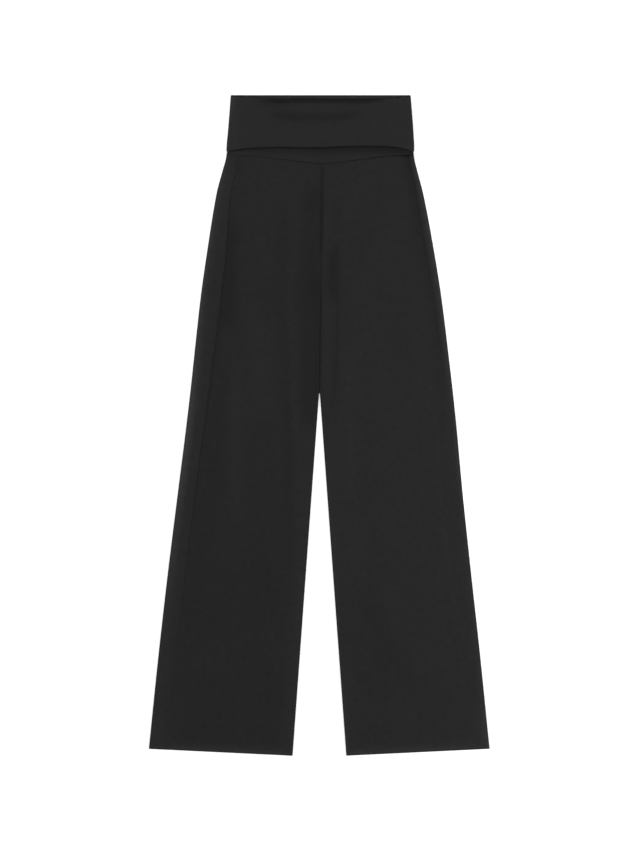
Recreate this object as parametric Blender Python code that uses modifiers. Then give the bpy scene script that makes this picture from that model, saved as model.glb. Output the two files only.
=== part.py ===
"""Wide-leg pull-on trousers in stretch jersey with a fold-over waistband, laid flat on their back.

The waistband is a doubled tube. It is sewn to the legs along a shallow V in front, stands up to the
waist, turns over at the top fold and hangs down over itself to a free edge. Below it the four leg panels
lie on each other, backs below fronts. The backs are cut wider than the fronts: each one turns round the
outer fold and comes a little way onto the front, to the side seam.

Metres. +X is to the wearer's left, +Y towards the waist and +Z up, with the underside on z = 0. A place
on the garment is x and down, its distance below the top fold.
"""

import math
from collections import namedtuple

import bpy
import numpy as np

GARMENT = "wide_leg_trousers"

# Lengths down the garment
LENGTH = 1.0694  # top fold to the inner corners of the hems
HEM_OUTER_DOWN = 1.0584  # top fold to the outer corners of the hems
FRONT_SEAM_DOWN = 0.1110  # top fold to the waistband seam, at the point of its V in front
BACK_SEAM_DOWN = 0.0935  # the same at the centre of the back
SIDE_SEAM_DOWN = 0.0960  # the same at the sides
FREE_EDGE_DOWN = 0.0848  # top fold to the free edge of the turned-down waistband, at the centre
FREE_EDGE_DROP = 0.0070  # how much lower the free edge hangs at the sides
FREE_EDGE_POWER = 5  # how late the free edge drops towards the sides
WAIST_SAG = 0.0095  # how far the front's top fold lies below the back's, at the centre
WAIST_SAG_POWER = 4  # how late it rises towards the sides
CROTCH_DOWN = 0.310
SPLIT_DOWN = 0.473  # where the legs stop touching

# Widths
BAND_SEAM_REACH = 0.1480  # from the middle to where the V ends
HEM_INNER_X = 0.0437  # inner corner of each hem
HEM_OUTER_X = 0.2752  # outer corner of each hem
WAIST_SHIFT = 0.0023  # the waist's middle lies this far towards the wearer's left of the hems' middle
SEAM_X_TOP = 0.0045  # centre seam at the waistband
SEAM_X_SPLIT = 0.0006  # centre seam where the legs part

# Thicknesses and clearances
LEG_CLOTH = 0.0012
BAND_CLOTH = 0.0018  # two plies
PLY_GAP = 0.0003  # between cloth that lies on cloth
SLIT = 0.0006  # the flattened waist, between the front and the back of the waistband
SEAM_GAP = 0.0003
EDGE_LOFT = 0.0015  # how far the front stands clear of the back at a fold, past PLY_GAP
FLAT_LOFT = 0.0009  # the same in the middle of a panel
LOFT_REACH = 0.010  # how soon the loft of an edge dies away
HEM_LOFT = 0.0005
BAND_LOFT = 0.0008  # of the turned-down front over the stretch below it
BAND_FLARE = 0.0008  # its free edge stands up by this much more
BAND_FLARE_REACH = 0.014
BAND_LOFT_POWER = 6  # how late that loft falls to nothing at the sides

# Over this stretch the inner edges change from a flat centre seam to a rolled inside leg
CURL_REACH = 0.070
CURL_DOWN = (CROTCH_DOWN - CURL_REACH, CROTCH_DOWN + CURL_REACH)
LEAST_ROLL = 0.001  # of a whole roll, above the crotch
ROLL_END = 0.0001  # the straight end of a rolled edge, square to the seam

# The legs step down from the waistband's height to the surface over STEP_DOWN, and out to its width
STEP_DOWN = (0.092, 0.128)
STEP_OUT = (0.092, 0.104)

# Heights in the stack of waistband cloth, from its middle plane
STAND_HEIGHT = (SLIT + BAND_CLOTH) / 2
TURNED_HEIGHT = STAND_HEIGHT + BAND_CLOTH + PLY_GAP
STACK_STEP = BAND_CLOTH + PLY_GAP
ROLL_CENTRE = SEAM_GAP / 2 + ROLL_END  # each half's side rolls turn about lines this far from that plane

# Mesh counts
LEG_ROWS = 23
ROW_CROWDING = 1.5  # rows are closer together near the waistband
FRONT_COLUMNS = 12
BACK_COLUMNS = 5
WRAP_COLUMNS = 3
CURL_STEPS = 3
FOLD_STEPS = 6
BAND_COLUMNS = 12
STAND_ROWS = 4
TURNED_ROWS = 7
ROLL_SHARES = np.append(np.linspace(0, 1, CURL_STEPS + 1), 2.0)  # the quarter turn, then the straight end
PASSES = 5  # rounds in which x and down are matched to each other

BLACK_JERSEY = (0.021, 0.021, 0.021, 1.0)
LEG_ROUGHNESS = 0.85
BAND_ROUGHNESS = 0.80

# The outline, and how far inside it each side seam shows on the front
Section = namedtuple("Section", "down half_width seam_right seam_left")
SECTIONS = (
    Section(0.000, 0.1455, 0.020, 0.010),
    Section(0.090, 0.1516, 0.020, 0.010),
    Section(0.103, 0.1526, 0.020, 0.010),
    Section(0.122, 0.1571, 0.020, 0.011),
    Section(0.154, 0.1657, 0.021, 0.014),
    Section(0.187, 0.1722, 0.024, 0.015),
    Section(0.251, 0.1832, 0.031, 0.014),
    Section(0.316, 0.1929, 0.034, 0.011),
    Section(0.381, 0.2010, 0.035, 0.010),
    Section(0.478, 0.2121, 0.033, 0.009),
    Section(0.640, 0.2299, 0.030, 0.009),
    Section(0.770, 0.2449, 0.029, 0.009),
    Section(0.900, 0.2594, 0.028, 0.009),
    Section(1.062, 0.2757, 0.027, 0.009),
)

# Soft folds of the front. Each runs down through three places, is bell-shaped across, and fades at its ends
Fold = namedtuple("Fold", "name down_top x_top down_mid x_mid down_end x_end width rise")
FOLDS = (
    Fold("right side, hip trough", 0.160, -0.131, 0.308, -0.147, 0.430, -0.164, 0.009, -0.0007),
    Fold("right side, leg trough", 0.460, -0.168, 0.656, -0.188, 0.850, -0.206, 0.009, -0.0005),
    Fold("right thigh ridge", 0.380, -0.140, 0.535, -0.144, 0.715, -0.129, 0.009, 0.0006),
    Fold("right thigh trough", 0.180, -0.055, 0.370, -0.066, 0.510, -0.056, 0.009, -0.0006),
    Fold("right leg trough", 0.470, -0.058, 0.656, -0.050, 0.880, -0.047, 0.009, -0.0005),
    Fold("right crotch ridge", 0.150, -0.036, 0.370, -0.044, 0.580, -0.030, 0.008, 0.0005),
    Fold("right crotch trough", 0.125, -0.013, 0.332, -0.016, 0.560, -0.016, 0.008, -0.0007),
    Fold("left side, hip trough", 0.112, 0.143, 0.203, 0.159, 0.370, 0.184, 0.009, -0.0007),
    Fold("left side, leg ridge", 0.510, 0.180, 0.672, 0.202, 0.880, 0.235, 0.008, 0.0006),
    Fold("left crotch trough", 0.165, 0.026, 0.300, 0.0275, 0.510, 0.029, 0.008, -0.0008),
    Fold("left inside-leg ridge", 0.490, 0.047, 0.575, 0.0485, 0.660, 0.050, 0.008, 0.0005),
)
FOLD_FADE = 0.035

# The crease across the turned-down front
CREASE_DOWN = 0.036
CREASE_X = -0.006
CREASE_REACH = (0.043, 0.072)  # from CREASE_X, where it starts to fade and where it has gone
CREASE_WIDTH = 0.006
CREASE_DEPTH = 0.0007


def ease(value, start, end):
    """0 before start, 1 after end and a smooth S between them."""
    t = np.clip((value - start) / (end - start), 0.0, 1.0)
    return t * t * (3.0 - 2.0 * t)


def section(name, down):
    """A column of SECTIONS at these distances down, on a smooth curve through its rows."""
    at = np.array([row.down for row in SECTIONS])
    value = np.array([getattr(row, name) for row in SECTIONS])
    slope = np.gradient(value, at)
    i = np.clip(np.searchsorted(at, down) - 1, 0, len(at) - 2)
    span = at[i + 1] - at[i]
    t = np.clip((down - at[i]) / span, 0.0, 1.0)
    start = (1 + 2 * t) * (1 - t) ** 2 * value[i] + t * (1 - t) ** 2 * span * slope[i]
    end = t**2 * (3 - 2 * t) * value[i + 1] + t**2 * (t - 1) * span * slope[i + 1]
    return start + end


def band_seam(x, centre_down):
    """How far down the seam between waistband and legs is: straight lines from its sides to its centre."""
    side_x = middle(SIDE_SEAM_DOWN) + np.sign(x - SEAM_X_TOP) * BAND_SEAM_REACH
    share = np.clip((x - SEAM_X_TOP) / (side_x - SEAM_X_TOP), 0.0, 1.0)
    return centre_down + share * (SIDE_SEAM_DOWN - centre_down)


def hem(x):
    """How far down the hem is: a straight line from its inner corner up to its outer one."""
    rise = (LENGTH - HEM_OUTER_DOWN) / (HEM_OUTER_X - HEM_INNER_X)
    return LENGTH - rise * (np.abs(x) - HEM_INNER_X)


def middle(down):
    """x of the garment's middle line."""
    return WAIST_SHIFT * (1 - down / LENGTH)


def outline(side, down):
    """x of the outer fold of the legs, and of the waistband's inner tube that they are sewn to."""
    inset = STACK_STEP * (1 - ease(down, *STEP_OUT))
    return middle(down) + side * (section("half_width", down) - inset)


def side_seam(side, down):
    """x of the side seam, on the front."""
    name = "seam_left" if side > 0 else "seam_right"
    return middle(down) + side * (section("half_width", down) - section(name, down))


def inner_edge(side, down):
    """x of a leg's inner edge: the centre seam, and past the split the edge of the gap between the legs."""
    seam = np.interp(down, [FRONT_SEAM_DOWN, SPLIT_DOWN], [SEAM_X_TOP, SEAM_X_SPLIT])
    open_by = HEM_INNER_X * np.clip((down - SPLIT_DOWN) / (LENGTH - SPLIT_DOWN), 0.0, 1.0)
    return seam + side * (SEAM_GAP / 2 + open_by)


def lift(down):
    """Height of the cloth's underside: on the turned-under waistband at the top, on the surface below."""
    return STACK_STEP * (1 - ease(down, *STEP_DOWN))


def fold_relief(x, down):
    """How much the soft folds raise or lower the front."""
    relief = np.zeros(np.broadcast(x, down).shape)
    for f in FOLDS:
        route = np.interp(down, [f.down_top, f.down_mid, f.down_end], [f.x_top, f.x_mid, f.x_end])
        start = ease(down, f.down_top, f.down_top + FOLD_FADE)
        end = 1 - ease(down, f.down_end - FOLD_FADE, f.down_end)
        relief += f.rise * start * end * np.exp(-0.5 * ((x - route) / f.width) ** 2)
    return relief


def front_height(side, x, down):
    """Height of the middle of the front's cloth. It stands clear of the back most at folds and seams."""
    from_outer = np.abs(outline(side, down) - x)
    from_inner = np.abs(x - inner_edge(side, down))
    from_band = np.maximum(down - band_seam(x, FRONT_SEAM_DOWN), 0.0)
    rolled = ease(down, *CURL_DOWN)
    edge = np.exp(-from_outer / LOFT_REACH)
    edge = np.maximum(edge, rolled * np.exp(-from_inner / LOFT_REACH))
    edge = np.maximum(edge, np.exp(-from_band / (2 * LOFT_REACH)))
    loft = FLAT_LOFT + (EDGE_LOFT - FLAT_LOFT) * edge
    loft += (1 - edge) * fold_relief(x, down) + HEM_LOFT * np.exp((down - hem(x)) / LOFT_REACH)
    return lift(down) + 1.5 * LEG_CLOTH + PLY_GAP + np.maximum(loft, 0.0)


def back_height(down):
    """Height of the middle of the back's cloth, which lies flat."""
    return lift(down) + LEG_CLOTH / 2


def matched_down(rows, place, centre_down):
    """x and down for each row of a panel that starts at the waistband seam, where place gives x from down."""
    down = np.broadcast_to(rows * LENGTH, np.broadcast(rows, place(rows * LENGTH)).shape)
    for _ in range(PASSES):
        x = place(down)
        top = band_seam(x, centre_down) + SEAM_GAP / 2
        down = top + rows * (hem(x) - top)
    return place(down), down


def roll_radius(side, down, x):
    """Radius, at the middle of the cloth, of the roll that joins front and back at x."""
    return (front_height(side, x, down) - back_height(down)) / 2


def inner_roll(side, down, share):
    """A leg's inner edge, at shares of the way along its roll from the flat. Returns x and depth.

    The roll is a quarter turn from share 0 to 1 and then a short straight end, at share 2. Above the
    crotch it is unrolled, so that the cloth ends flat at the centre seam.
    """
    rolled = np.maximum(ease(down, *CURL_DOWN), LEAST_ROLL)
    radius = roll_radius(side, down, inner_edge(side, down)) - SEAM_GAP / 2 - ROLL_END
    bend = rolled / radius
    whole = rolled * math.pi / 2
    angle = whole * np.minimum(share, 1.0)
    straight = ROLL_END * np.maximum(share - 1.0, 0.0)
    end = inner_edge(side, down) + side * LEG_CLOTH / 2 * np.sin(whole)
    run = (np.sin(whole) - np.sin(angle)) / bend + (ROLL_END - straight) * np.cos(whole)
    return end + side * run, (1 - np.cos(angle)) / bend + straight * np.sin(whole)


def panel(parts):
    """Grid of a leg panel from its parts across.

    Each part is the waistband seam's depth at its centre, a function that gives x from down and one that
    gives height from x and down.
    """
    rows = (np.arange(LEG_ROWS + 1) / LEG_ROWS)[:, None] ** ROW_CROWDING
    strips = []
    for centre_down, place, height in parts:
        x, down = matched_down(rows, place, centre_down)
        strips.append(np.stack([x, LENGTH / 2 - down, height(x, down)], axis=-1))
    return np.concatenate(strips, axis=1)


def front_leg(side):
    """Grid of a front panel: rolled inner edge, then across to the side seam."""
    roll = ROLL_SHARES[None, ::-1]
    across = np.linspace(0, 1, FRONT_COLUMNS + 1)[None, 1:]

    def flat_x(down):
        start = inner_roll(side, down, 0.0)[0]
        return start + across * (side_seam(side, down) - side * SEAM_GAP / 2 - start)

    def roll_height(x, down):
        return front_height(side, inner_roll(side, down, 0.0)[0], down) - inner_roll(side, down, roll)[1]

    return panel(
        (
            (FRONT_SEAM_DOWN, lambda down: inner_roll(side, down, roll)[0], roll_height),
            (FRONT_SEAM_DOWN, flat_x, lambda x, down: front_height(side, x, down)),
        )
    )


def back_leg(side):
    """Grid of a back panel: rolled inner edge, flat below, round the outer fold, and in to the side seam."""
    roll = ROLL_SHARES[None, ::-1]
    across = np.linspace(0, 1, BACK_COLUMNS + 1)[None, 1:-1]
    turn = np.linspace(math.pi, 0, FOLD_STEPS + 1)[None, :]
    wrap = np.linspace(0, 1, WRAP_COLUMNS + 1)[None, 1:]

    def radius(down):
        return roll_radius(side, down, outline(side, down))

    def fold_centre(down):
        return outline(side, down) - side * (LEG_CLOTH / 2 + radius(down))

    def below_x(down):
        start = inner_roll(side, down, 0.0)[0]
        return start + across * (fold_centre(down) - start)

    def fold_x(down):
        return fold_centre(down) + side * radius(down) * np.sin(turn)

    def wrap_x(down):
        return fold_centre(down) + wrap * (side_seam(side, down) + side * SEAM_GAP / 2 - fold_centre(down))

    def roll_height(x, down):
        return back_height(down) + inner_roll(side, down, roll)[1]

    def fold_height(x, down):
        return back_height(down) + radius(down) * (1 + np.cos(turn))

    return panel(
        (
            (BACK_SEAM_DOWN, lambda down: inner_roll(side, down, roll)[0], roll_height),
            (BACK_SEAM_DOWN, below_x, lambda x, down: back_height(down)),
            (BACK_SEAM_DOWN, fold_x, fold_height),
            (FRONT_SEAM_DOWN, wrap_x, lambda x, down: front_height(side, x, down)),
        )
    )


def band_half_span(down):
    """Half the width of the waistband's flat middle, between the rolls at its sides."""
    roll_width = STAND_HEIGHT - ROLL_CENTRE + BAND_CLOTH / 2
    return section("half_width", down) - STACK_STEP * (1 - ease(down, *STEP_OUT)) - roll_width


def band_loft(x, down):
    """How far the turned-down front stands clear of the stretch below it. It is 0 at the sides."""
    share = np.abs(x - middle(down)) / section("half_width", down)
    crease = np.exp(-0.5 * ((down - CREASE_DOWN) / CREASE_WIDTH) ** 2)
    crease = CREASE_DEPTH * crease * (1 - ease(np.abs(x - CREASE_X), *CREASE_REACH))
    flare = BAND_FLARE * np.exp((down - FREE_EDGE_DOWN) / BAND_FLARE_REACH)
    return (BAND_LOFT - crease + flare) * np.clip(1 - share**BAND_LOFT_POWER, 0.0, 1.0)


def waistband(front):
    """Grid of one half of the waistband: up from its seam, over the top fold and down to its free edge.

    Across, it is flat between two rolls of a quarter turn, each with a short straight end at the side.
    """
    up = 1 if front else -1
    centre_down = FRONT_SEAM_DOWN if front else BACK_SEAM_DOWN
    flat = np.linspace(-1, 1, BAND_COLUMNS + 1)
    quarter = np.minimum(ROLL_SHARES[1:], 1.0) * math.pi / 2
    side = np.ones_like(quarter)
    across = np.concatenate([-side, flat, side])[None, :]
    angle = np.concatenate([-quarter[::-1], 0 * flat, quarter])[None, :]
    drop = np.zeros_like(angle)
    drop[:, [0, -1]] = ROLL_END
    stand = np.linspace(0, 1, STAND_ROWS + 1)[:-1, None] ** 2
    turn = np.linspace(0, math.pi, FOLD_STEPS + 1)[:, None]
    hang = np.linspace(0, 1, TURNED_ROWS + 1)[1:, None]
    rise = TURNED_HEIGHT - STAND_HEIGHT

    def lines(down):
        """x of the flat columns, the top fold's centre line, the seam and the free edge."""
        to_seam = (SEAM_X_TOP - middle(down)) * (1 - across**2)
        x = middle(down) + across * band_half_span(down) + to_seam
        share = np.abs(across)
        sag = WAIST_SAG * (1 - share**WAIST_SAG_POWER) if front else 0 * share
        centre = sag + (BAND_CLOTH + rise) / 2
        free = FREE_EDGE_DOWN + FREE_EDGE_DROP * share**FREE_EDGE_POWER
        return x, centre, band_seam(x, centre_down) - SEAM_GAP / 2, free

    down = np.full((len(stand) + len(turn) + len(hang), across.shape[1]), FREE_EDGE_DOWN / 2)
    for _ in range(PASSES):
        x, centre, seam, free = lines(down)
        seam = seam[: len(stand)]
        down = np.vstack(
            [
                seam + stand * (centre - seam),
                centre - rise / 2 * np.sin(turn),
                centre + hang * (free - centre),
            ]
        )
    x = lines(down)[0]
    loft = band_loft(x, down) if front else 0 * x
    share_turned = np.vstack([0 * stand, (1 - np.cos(turn)) / 2, 0 * hang + 1])
    core = lift(down) + STACK_STEP
    radius = STAND_HEIGHT + share_turned * (rise + loft) - ROLL_CENTRE
    x = x + radius * np.sin(angle)
    z = core + up * (ROLL_CENTRE + radius * np.cos(angle) - drop)
    return np.stack([x, LENGTH / 2 - down, z], axis=-1)


def jersey(name, roughness):
    """A plain black cloth material."""
    material = bpy.data.materials.new(name)
    material.use_nodes = True
    shader = material.node_tree.nodes["Principled BSDF"]
    shader.inputs["Base Color"].default_value = BLACK_JERSEY
    shader.inputs["Roughness"].default_value = roughness
    shader.inputs["Metallic"].default_value = 0.0
    return material


def cloth(name, grid, thickness, roughness, collection):
    """One piece of cloth: a surface lofted through the rows of a grid, given its thickness by Solidify."""
    rows, columns = grid.shape[:2]
    index = np.arange(rows * columns).reshape(rows, columns)
    corners = (index[:-1, :-1], index[1:, :-1], index[1:, 1:], index[:-1, 1:])
    faces = np.stack(corners, axis=-1).reshape(-1, 4)
    mesh = bpy.data.meshes.new(name)
    mesh.from_pydata(grid.reshape(-1, 3).tolist(), [], faces.tolist())
    mesh.shade_smooth()
    mesh.materials.append(jersey(name, roughness))
    piece = bpy.data.objects.new(name, mesh)
    collection.objects.link(piece)
    wall = piece.modifiers.new("cloth thickness", "SOLIDIFY")
    wall.thickness = thickness
    wall.offset = 0.0
    wall.use_even_offset = True
    return piece


def main():
    for leftover in list(bpy.data.objects):
        bpy.data.objects.remove(leftover)
    collection = bpy.data.collections.new(GARMENT)
    bpy.context.scene.collection.children.link(collection)
    for side, wearer in ((1, "left"), (-1, "right")):
        cloth(f"front_leg_{wearer}", front_leg(side), LEG_CLOTH, LEG_ROUGHNESS, collection)
        cloth(f"back_leg_{wearer}", back_leg(side), LEG_CLOTH, LEG_ROUGHNESS, collection)
    cloth("front_waistband", waistband(True), BAND_CLOTH, BAND_ROUGHNESS, collection)
    cloth("back_waistband", waistband(False), BAND_CLOTH, BAND_ROUGHNESS, collection)


main()
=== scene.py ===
"""Wide-leg pull-on trousers in black stretch jersey, laid flat on their back: the cloth itself.

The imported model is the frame. Each of its six plain pieces is replaced by a fine, thin sheet of the same
cut, with its seams turned in, its hem turned up inside the leg, its rolled edges and its soft folds.

Metres. +X is to the wearer's left, +Y towards the waist and +Z up, with the surface it lies on at z = 0.
A place on the garment is x and down, its distance below the top fold.
"""

import logging
import math
from dataclasses import dataclass
from enum import Enum
from typing import Callable

import bpy
import numpy as np
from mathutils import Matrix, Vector


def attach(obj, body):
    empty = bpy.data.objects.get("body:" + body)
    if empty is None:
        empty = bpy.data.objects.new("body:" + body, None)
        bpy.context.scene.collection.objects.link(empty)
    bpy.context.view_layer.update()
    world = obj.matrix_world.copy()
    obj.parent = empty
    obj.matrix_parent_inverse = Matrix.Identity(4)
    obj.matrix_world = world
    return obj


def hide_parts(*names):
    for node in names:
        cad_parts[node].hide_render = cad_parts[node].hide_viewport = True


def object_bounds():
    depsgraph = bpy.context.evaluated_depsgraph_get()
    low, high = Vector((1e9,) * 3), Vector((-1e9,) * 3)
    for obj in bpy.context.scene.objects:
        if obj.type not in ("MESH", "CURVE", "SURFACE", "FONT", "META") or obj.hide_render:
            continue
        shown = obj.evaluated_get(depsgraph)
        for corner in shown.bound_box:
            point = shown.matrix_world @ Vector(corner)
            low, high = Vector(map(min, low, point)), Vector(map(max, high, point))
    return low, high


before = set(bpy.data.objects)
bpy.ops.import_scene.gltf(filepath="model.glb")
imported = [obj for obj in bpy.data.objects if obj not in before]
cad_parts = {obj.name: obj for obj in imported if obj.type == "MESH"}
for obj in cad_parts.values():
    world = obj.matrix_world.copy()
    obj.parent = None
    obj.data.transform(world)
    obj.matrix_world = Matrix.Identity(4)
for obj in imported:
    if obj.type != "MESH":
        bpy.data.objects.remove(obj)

LOG = logging.getLogger("trousers")
CAD_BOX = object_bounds()

BODY = "root"
UV_NAME = "cloth"
# The attribute that holds the painted light and shade
PAINTED_SHADING_NAME = "tone"
RIM_STEPS = 4  # grid steps over a thin cloth's rounded rim

Place = Callable[[np.ndarray], np.ndarray]
Height = Callable[[np.ndarray, np.ndarray], np.ndarray]


class Side(Enum):
    """A side of the wearer. Its value is the sign of x there."""

    LEFT = 1
    RIGHT = -1

    @property
    def word(self) -> str:
        """The side's name as the nodes spell it."""
        return self.name.lower()


class Layer(Enum):
    """The front or the back of the garment. Its value is the side of the stack that it lies on."""

    FRONT = 1
    BACK = -1

    @property
    def word(self) -> str:
        """The layer's name as the nodes spell it."""
        return self.name.lower()


def ease(value: np.ndarray, start: float, end: float) -> np.ndarray:
    """Smooth S: 0 before start, 1 after end, and 3t^2 - 2t^3 at the share t of the way between them.

    Args:
        value: Where it is read.
        start: Where it leaves 0.
        end: Where it reaches 1.

    Returns:
        The S at each value.
    """
    t = np.clip((value - start) / (end - start), 0.0, 1.0)
    return t * t * (3.0 - 2.0 * t)


def bell(offset: np.ndarray, width: float) -> np.ndarray:
    """Bell curve exp(-(offset / width)^2 / 2) of this half width."""
    return np.exp(-0.5 * (offset / width) ** 2)


@dataclass(frozen=True)
class Section:
    """One row of the outline."""

    down: float
    half_width: float
    shift: float  # x of the middle of the outline
    seam_right: float  # how far inside the outline the right side seam shows on the front
    seam_left: float


@dataclass(frozen=True)
class SideRow:
    """How one side of the legs looks at one distance down."""

    down: float
    dip: float  # how far the cloth lies lower towards the side seam
    line: float  # how clearly that seam shows: 1 is an open groove and 0 is pressed shut
    pale: float  # painted highlight: how much lighter the folded outer edge is painted
    reach: float  # how far in that fades
    power: float = 1.0  # 1 fades as an exponential, and more keeps it level first
    strip: float = 0.0  # painted light: how much lighter the cloth past the side seam is painted


@dataclass(frozen=True)
class InsideRow:
    """How the cloth's edge along an inside leg looks at one distance down."""

    down: float
    pale: float  # painted highlight: how much lighter the cloth is painted along the edge
    reach: float
    power: float


@dataclass(frozen=True)
class PaintedEdgeLight:
    """Painted highlight along an edge: how much lighter it is painted than the cloth inside it."""

    pale: float | np.ndarray
    reach: float | np.ndarray
    power: float | np.ndarray

    def at(self, distance: np.ndarray) -> np.ndarray:
        """pale * exp(-(distance / reach)^power)."""
        return self.pale * np.exp(-((distance / self.reach) ** self.power))


@dataclass(frozen=True)
class Fold:
    """A soft trough or ridge: bell-shaped across a curved route down the cloth, fading at its ends."""

    name: str
    top: tuple[float, float]  # down and x where it starts
    middle: tuple[float, float]
    end: tuple[float, float]
    width: float
    rise: float
    fade: float = 0.035
    power: float = 2.0  # 2 is a bell across, and more a flat bottom with steeper sides

    def route(self, down: np.ndarray) -> np.ndarray:
        """The parabola through the fold's three places, from Lagrange's formula.

        Args:
            down: Distances below the top fold.

        Returns:
            x of the fold's line at each of them.
        """
        places = (self.top, self.middle, self.end)
        at = np.clip(down, self.top[0], self.end[0])
        x = np.zeros_like(at)
        for i, (own_down, own_x) in enumerate(places):
            weight = np.ones_like(at)
            for other_down, _ in places[:i] + places[i + 1 :]:
                weight = weight * (at - other_down) / (own_down - other_down)
            x = x + own_x * weight
        return x

    def relief(self, x: np.ndarray, down: np.ndarray) -> np.ndarray:
        """Height that it adds: rise * exp(-|offset / width|^power / 2) across, with an S at each end.

        Args:
            x: Places across the garment.
            down: Distances below the top fold.

        Returns:
            The height at each place.
        """
        start = ease(down, self.top[0], self.top[0] + self.fade)
        end = 1.0 - ease(down, self.end[0] - self.fade, self.end[0])
        offset = np.abs(x - self.route(down)) / self.width
        return self.rise * start * end * np.exp(-0.5 * offset**self.power)


@dataclass(frozen=True)
class Crease:
    """A soft dip across the waistband: bell-shaped down it, and fading at its two ends."""

    x: float
    down: float
    near: float  # distance from x at which it starts to fade
    far: float  # distance from x at which it has gone
    width: float
    depth: float
    slant: float = 0.0  # how much it drops for each metre along x
    bow: float = 0.0  # how much its ends rise, for each square metre

    def relief(self, x: np.ndarray, down: np.ndarray) -> np.ndarray:
        """Height that it adds: minus the depth, times a bell down the cloth and an S along the crease.

        Args:
            x: Places across the waistband.
            down: Distances below the top fold.

        Returns:
            The height at each place, 0 or below.
        """
        offset = x - self.x
        across = down - self.down - self.slant * offset + self.bow * offset**2
        return -self.depth * bell(across, self.width) * (1.0 - ease(np.abs(offset), self.near, self.far))


@dataclass(frozen=True)
class Gathers:
    """Small uneven gathers beside a seam."""

    rise: float
    step: float
    sway: float  # how far their phase sways to and fro, in radians
    sway_step: float
    reach: float  # how far from the seam they fade
    phase: float = 0.0

    def relief(self, place: np.ndarray, distance: np.ndarray, shift: float = 0.0) -> np.ndarray:
        """Height that they add: a sine along the seam, whose phase sways, times exp(-distance / reach).

        Args:
            place: Distances along the seam.
            distance: Distances from it.
            shift: What is added to the phase.

        Returns:
            The height at each place.
        """
        sway = self.sway * np.sin(2 * math.pi * place / self.sway_step)
        sine = np.sin(2 * math.pi * place / self.step + sway + self.phase + shift)
        return self.rise * sine * np.exp(-distance / self.reach)


@dataclass(frozen=True)
class Ripple:
    """A slanted sine over the cloth."""

    across: float  # radians for each metre of x
    lengthwise: float  # and for each metre down
    phase: float = 0.0
    sided: float = 0.0  # how much the sign of the side adds to the phase

    def at(self, side: Side, x: np.ndarray, down: np.ndarray) -> np.ndarray:
        """sin(across * x + lengthwise * down + phase + sided * sign of the side)."""
        return np.sin(x * self.across + down * self.lengthwise + self.phase + self.sided * side.value)


@dataclass(frozen=True)
class Lines:
    """Grid lines between two edges: each lies a share of the way across, and a shift past that."""

    share: np.ndarray
    shift: np.ndarray

    def place(self, start: np.ndarray, end: np.ndarray) -> np.ndarray:
        """start + share * (end - start), and the shift towards the end."""
        return start + self.share * (end - start) + np.sign(end - start) * self.shift

    def as_rows(self) -> "Lines":
        """The same lines in one column, so that each is a row."""
        return Lines(self.share[:, None], self.shift[:, None])


def along(rows: tuple[SideRow | InsideRow, ...], name: str, down: np.ndarray) -> np.ndarray:
    """A column of a table of rows, on straight lines between them.

    Args:
        rows: The rows, each with its distance down.
        name: The column's name.
        down: Distances below the top fold.

    Returns:
        The column's value at each distance.
    """
    return np.interp(down, [row.down for row in rows], [getattr(row, name) for row in rows])


def rim_lines(rim: float, growth: float, reach: float, steps: int = RIM_STEPS) -> np.ndarray:
    """Distances from an edge at which grid lines lie, close together over its rounded rim.

    The first are rim * (1 - cos(angle)) for equal angles up to a right angle. Each step after them is growth
    times the last one, until reach is passed.

    Args:
        rim: How far in the rounding reaches.
        growth: How much longer each later step is.
        reach: Where the crowding may end.
        steps: Steps over the rim.

    Returns:
        The distances, from 0 up.
    """
    angle = np.linspace(0.0, math.pi / 2, steps + 1)
    lines = list(rim * (1.0 - np.cos(angle)))
    while lines[-1] < reach:
        lines.append(lines[-1] + growth * (lines[-1] - lines[-2]))
    return np.array(lines)


def spread(lead: np.ndarray, trail: np.ndarray, count: int) -> Lines:
    """Lines at the distances lead past the first edge, then evenly spaced, then trail short of the second.

    Args:
        lead: Distances from the first edge, growing.
        trail: Distances from the second edge, growing.
        count: How many even lines lie between the two.

    Returns:
        The grid lines, from the first edge to the second.
    """
    inner = np.linspace(0.0, 1.0, count + 2)[1:-1]
    share = np.concatenate([np.zeros_like(lead), inner, np.ones_like(trail)])
    shift = np.concatenate([lead, lead[-1] - inner * (trail[-1] + lead[-1]), -trail[::-1]])
    return Lines(share, shift)


def unit(vectors: np.ndarray) -> np.ndarray:
    """The vectors at length 1."""
    return vectors / np.maximum(np.linalg.norm(vectors, axis=-1, keepdims=True), 1e-12)


def normals(grid: np.ndarray) -> np.ndarray:
    """Unit normals of a grid: the cross product of its tangents down the rows and across the columns."""
    return unit(np.cross(np.gradient(grid, axis=0), np.gradient(grid, axis=1)))


def run(grid: np.ndarray, axis: int) -> np.ndarray:
    """Distance along the grid from its first line: the running sum of the steps along an axis."""
    steps = np.linalg.norm(np.diff(grid, axis=axis), axis=-1)
    return np.insert(np.cumsum(steps, axis=axis), 0, 0.0, axis=axis)


def cell_area(grid: np.ndarray) -> float:
    """Area of a grid's cells: half the cross product of their two diagonals, summed.

    Args:
        grid: The grid's points.

    Returns:
        The area.
    """
    diagonal = grid[1:, 1:] - grid[:-1, :-1]
    other = grid[1:, :-1] - grid[:-1, 1:]
    return float(np.linalg.norm(np.cross(diagonal, other), axis=-1).sum() / 2)


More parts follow.
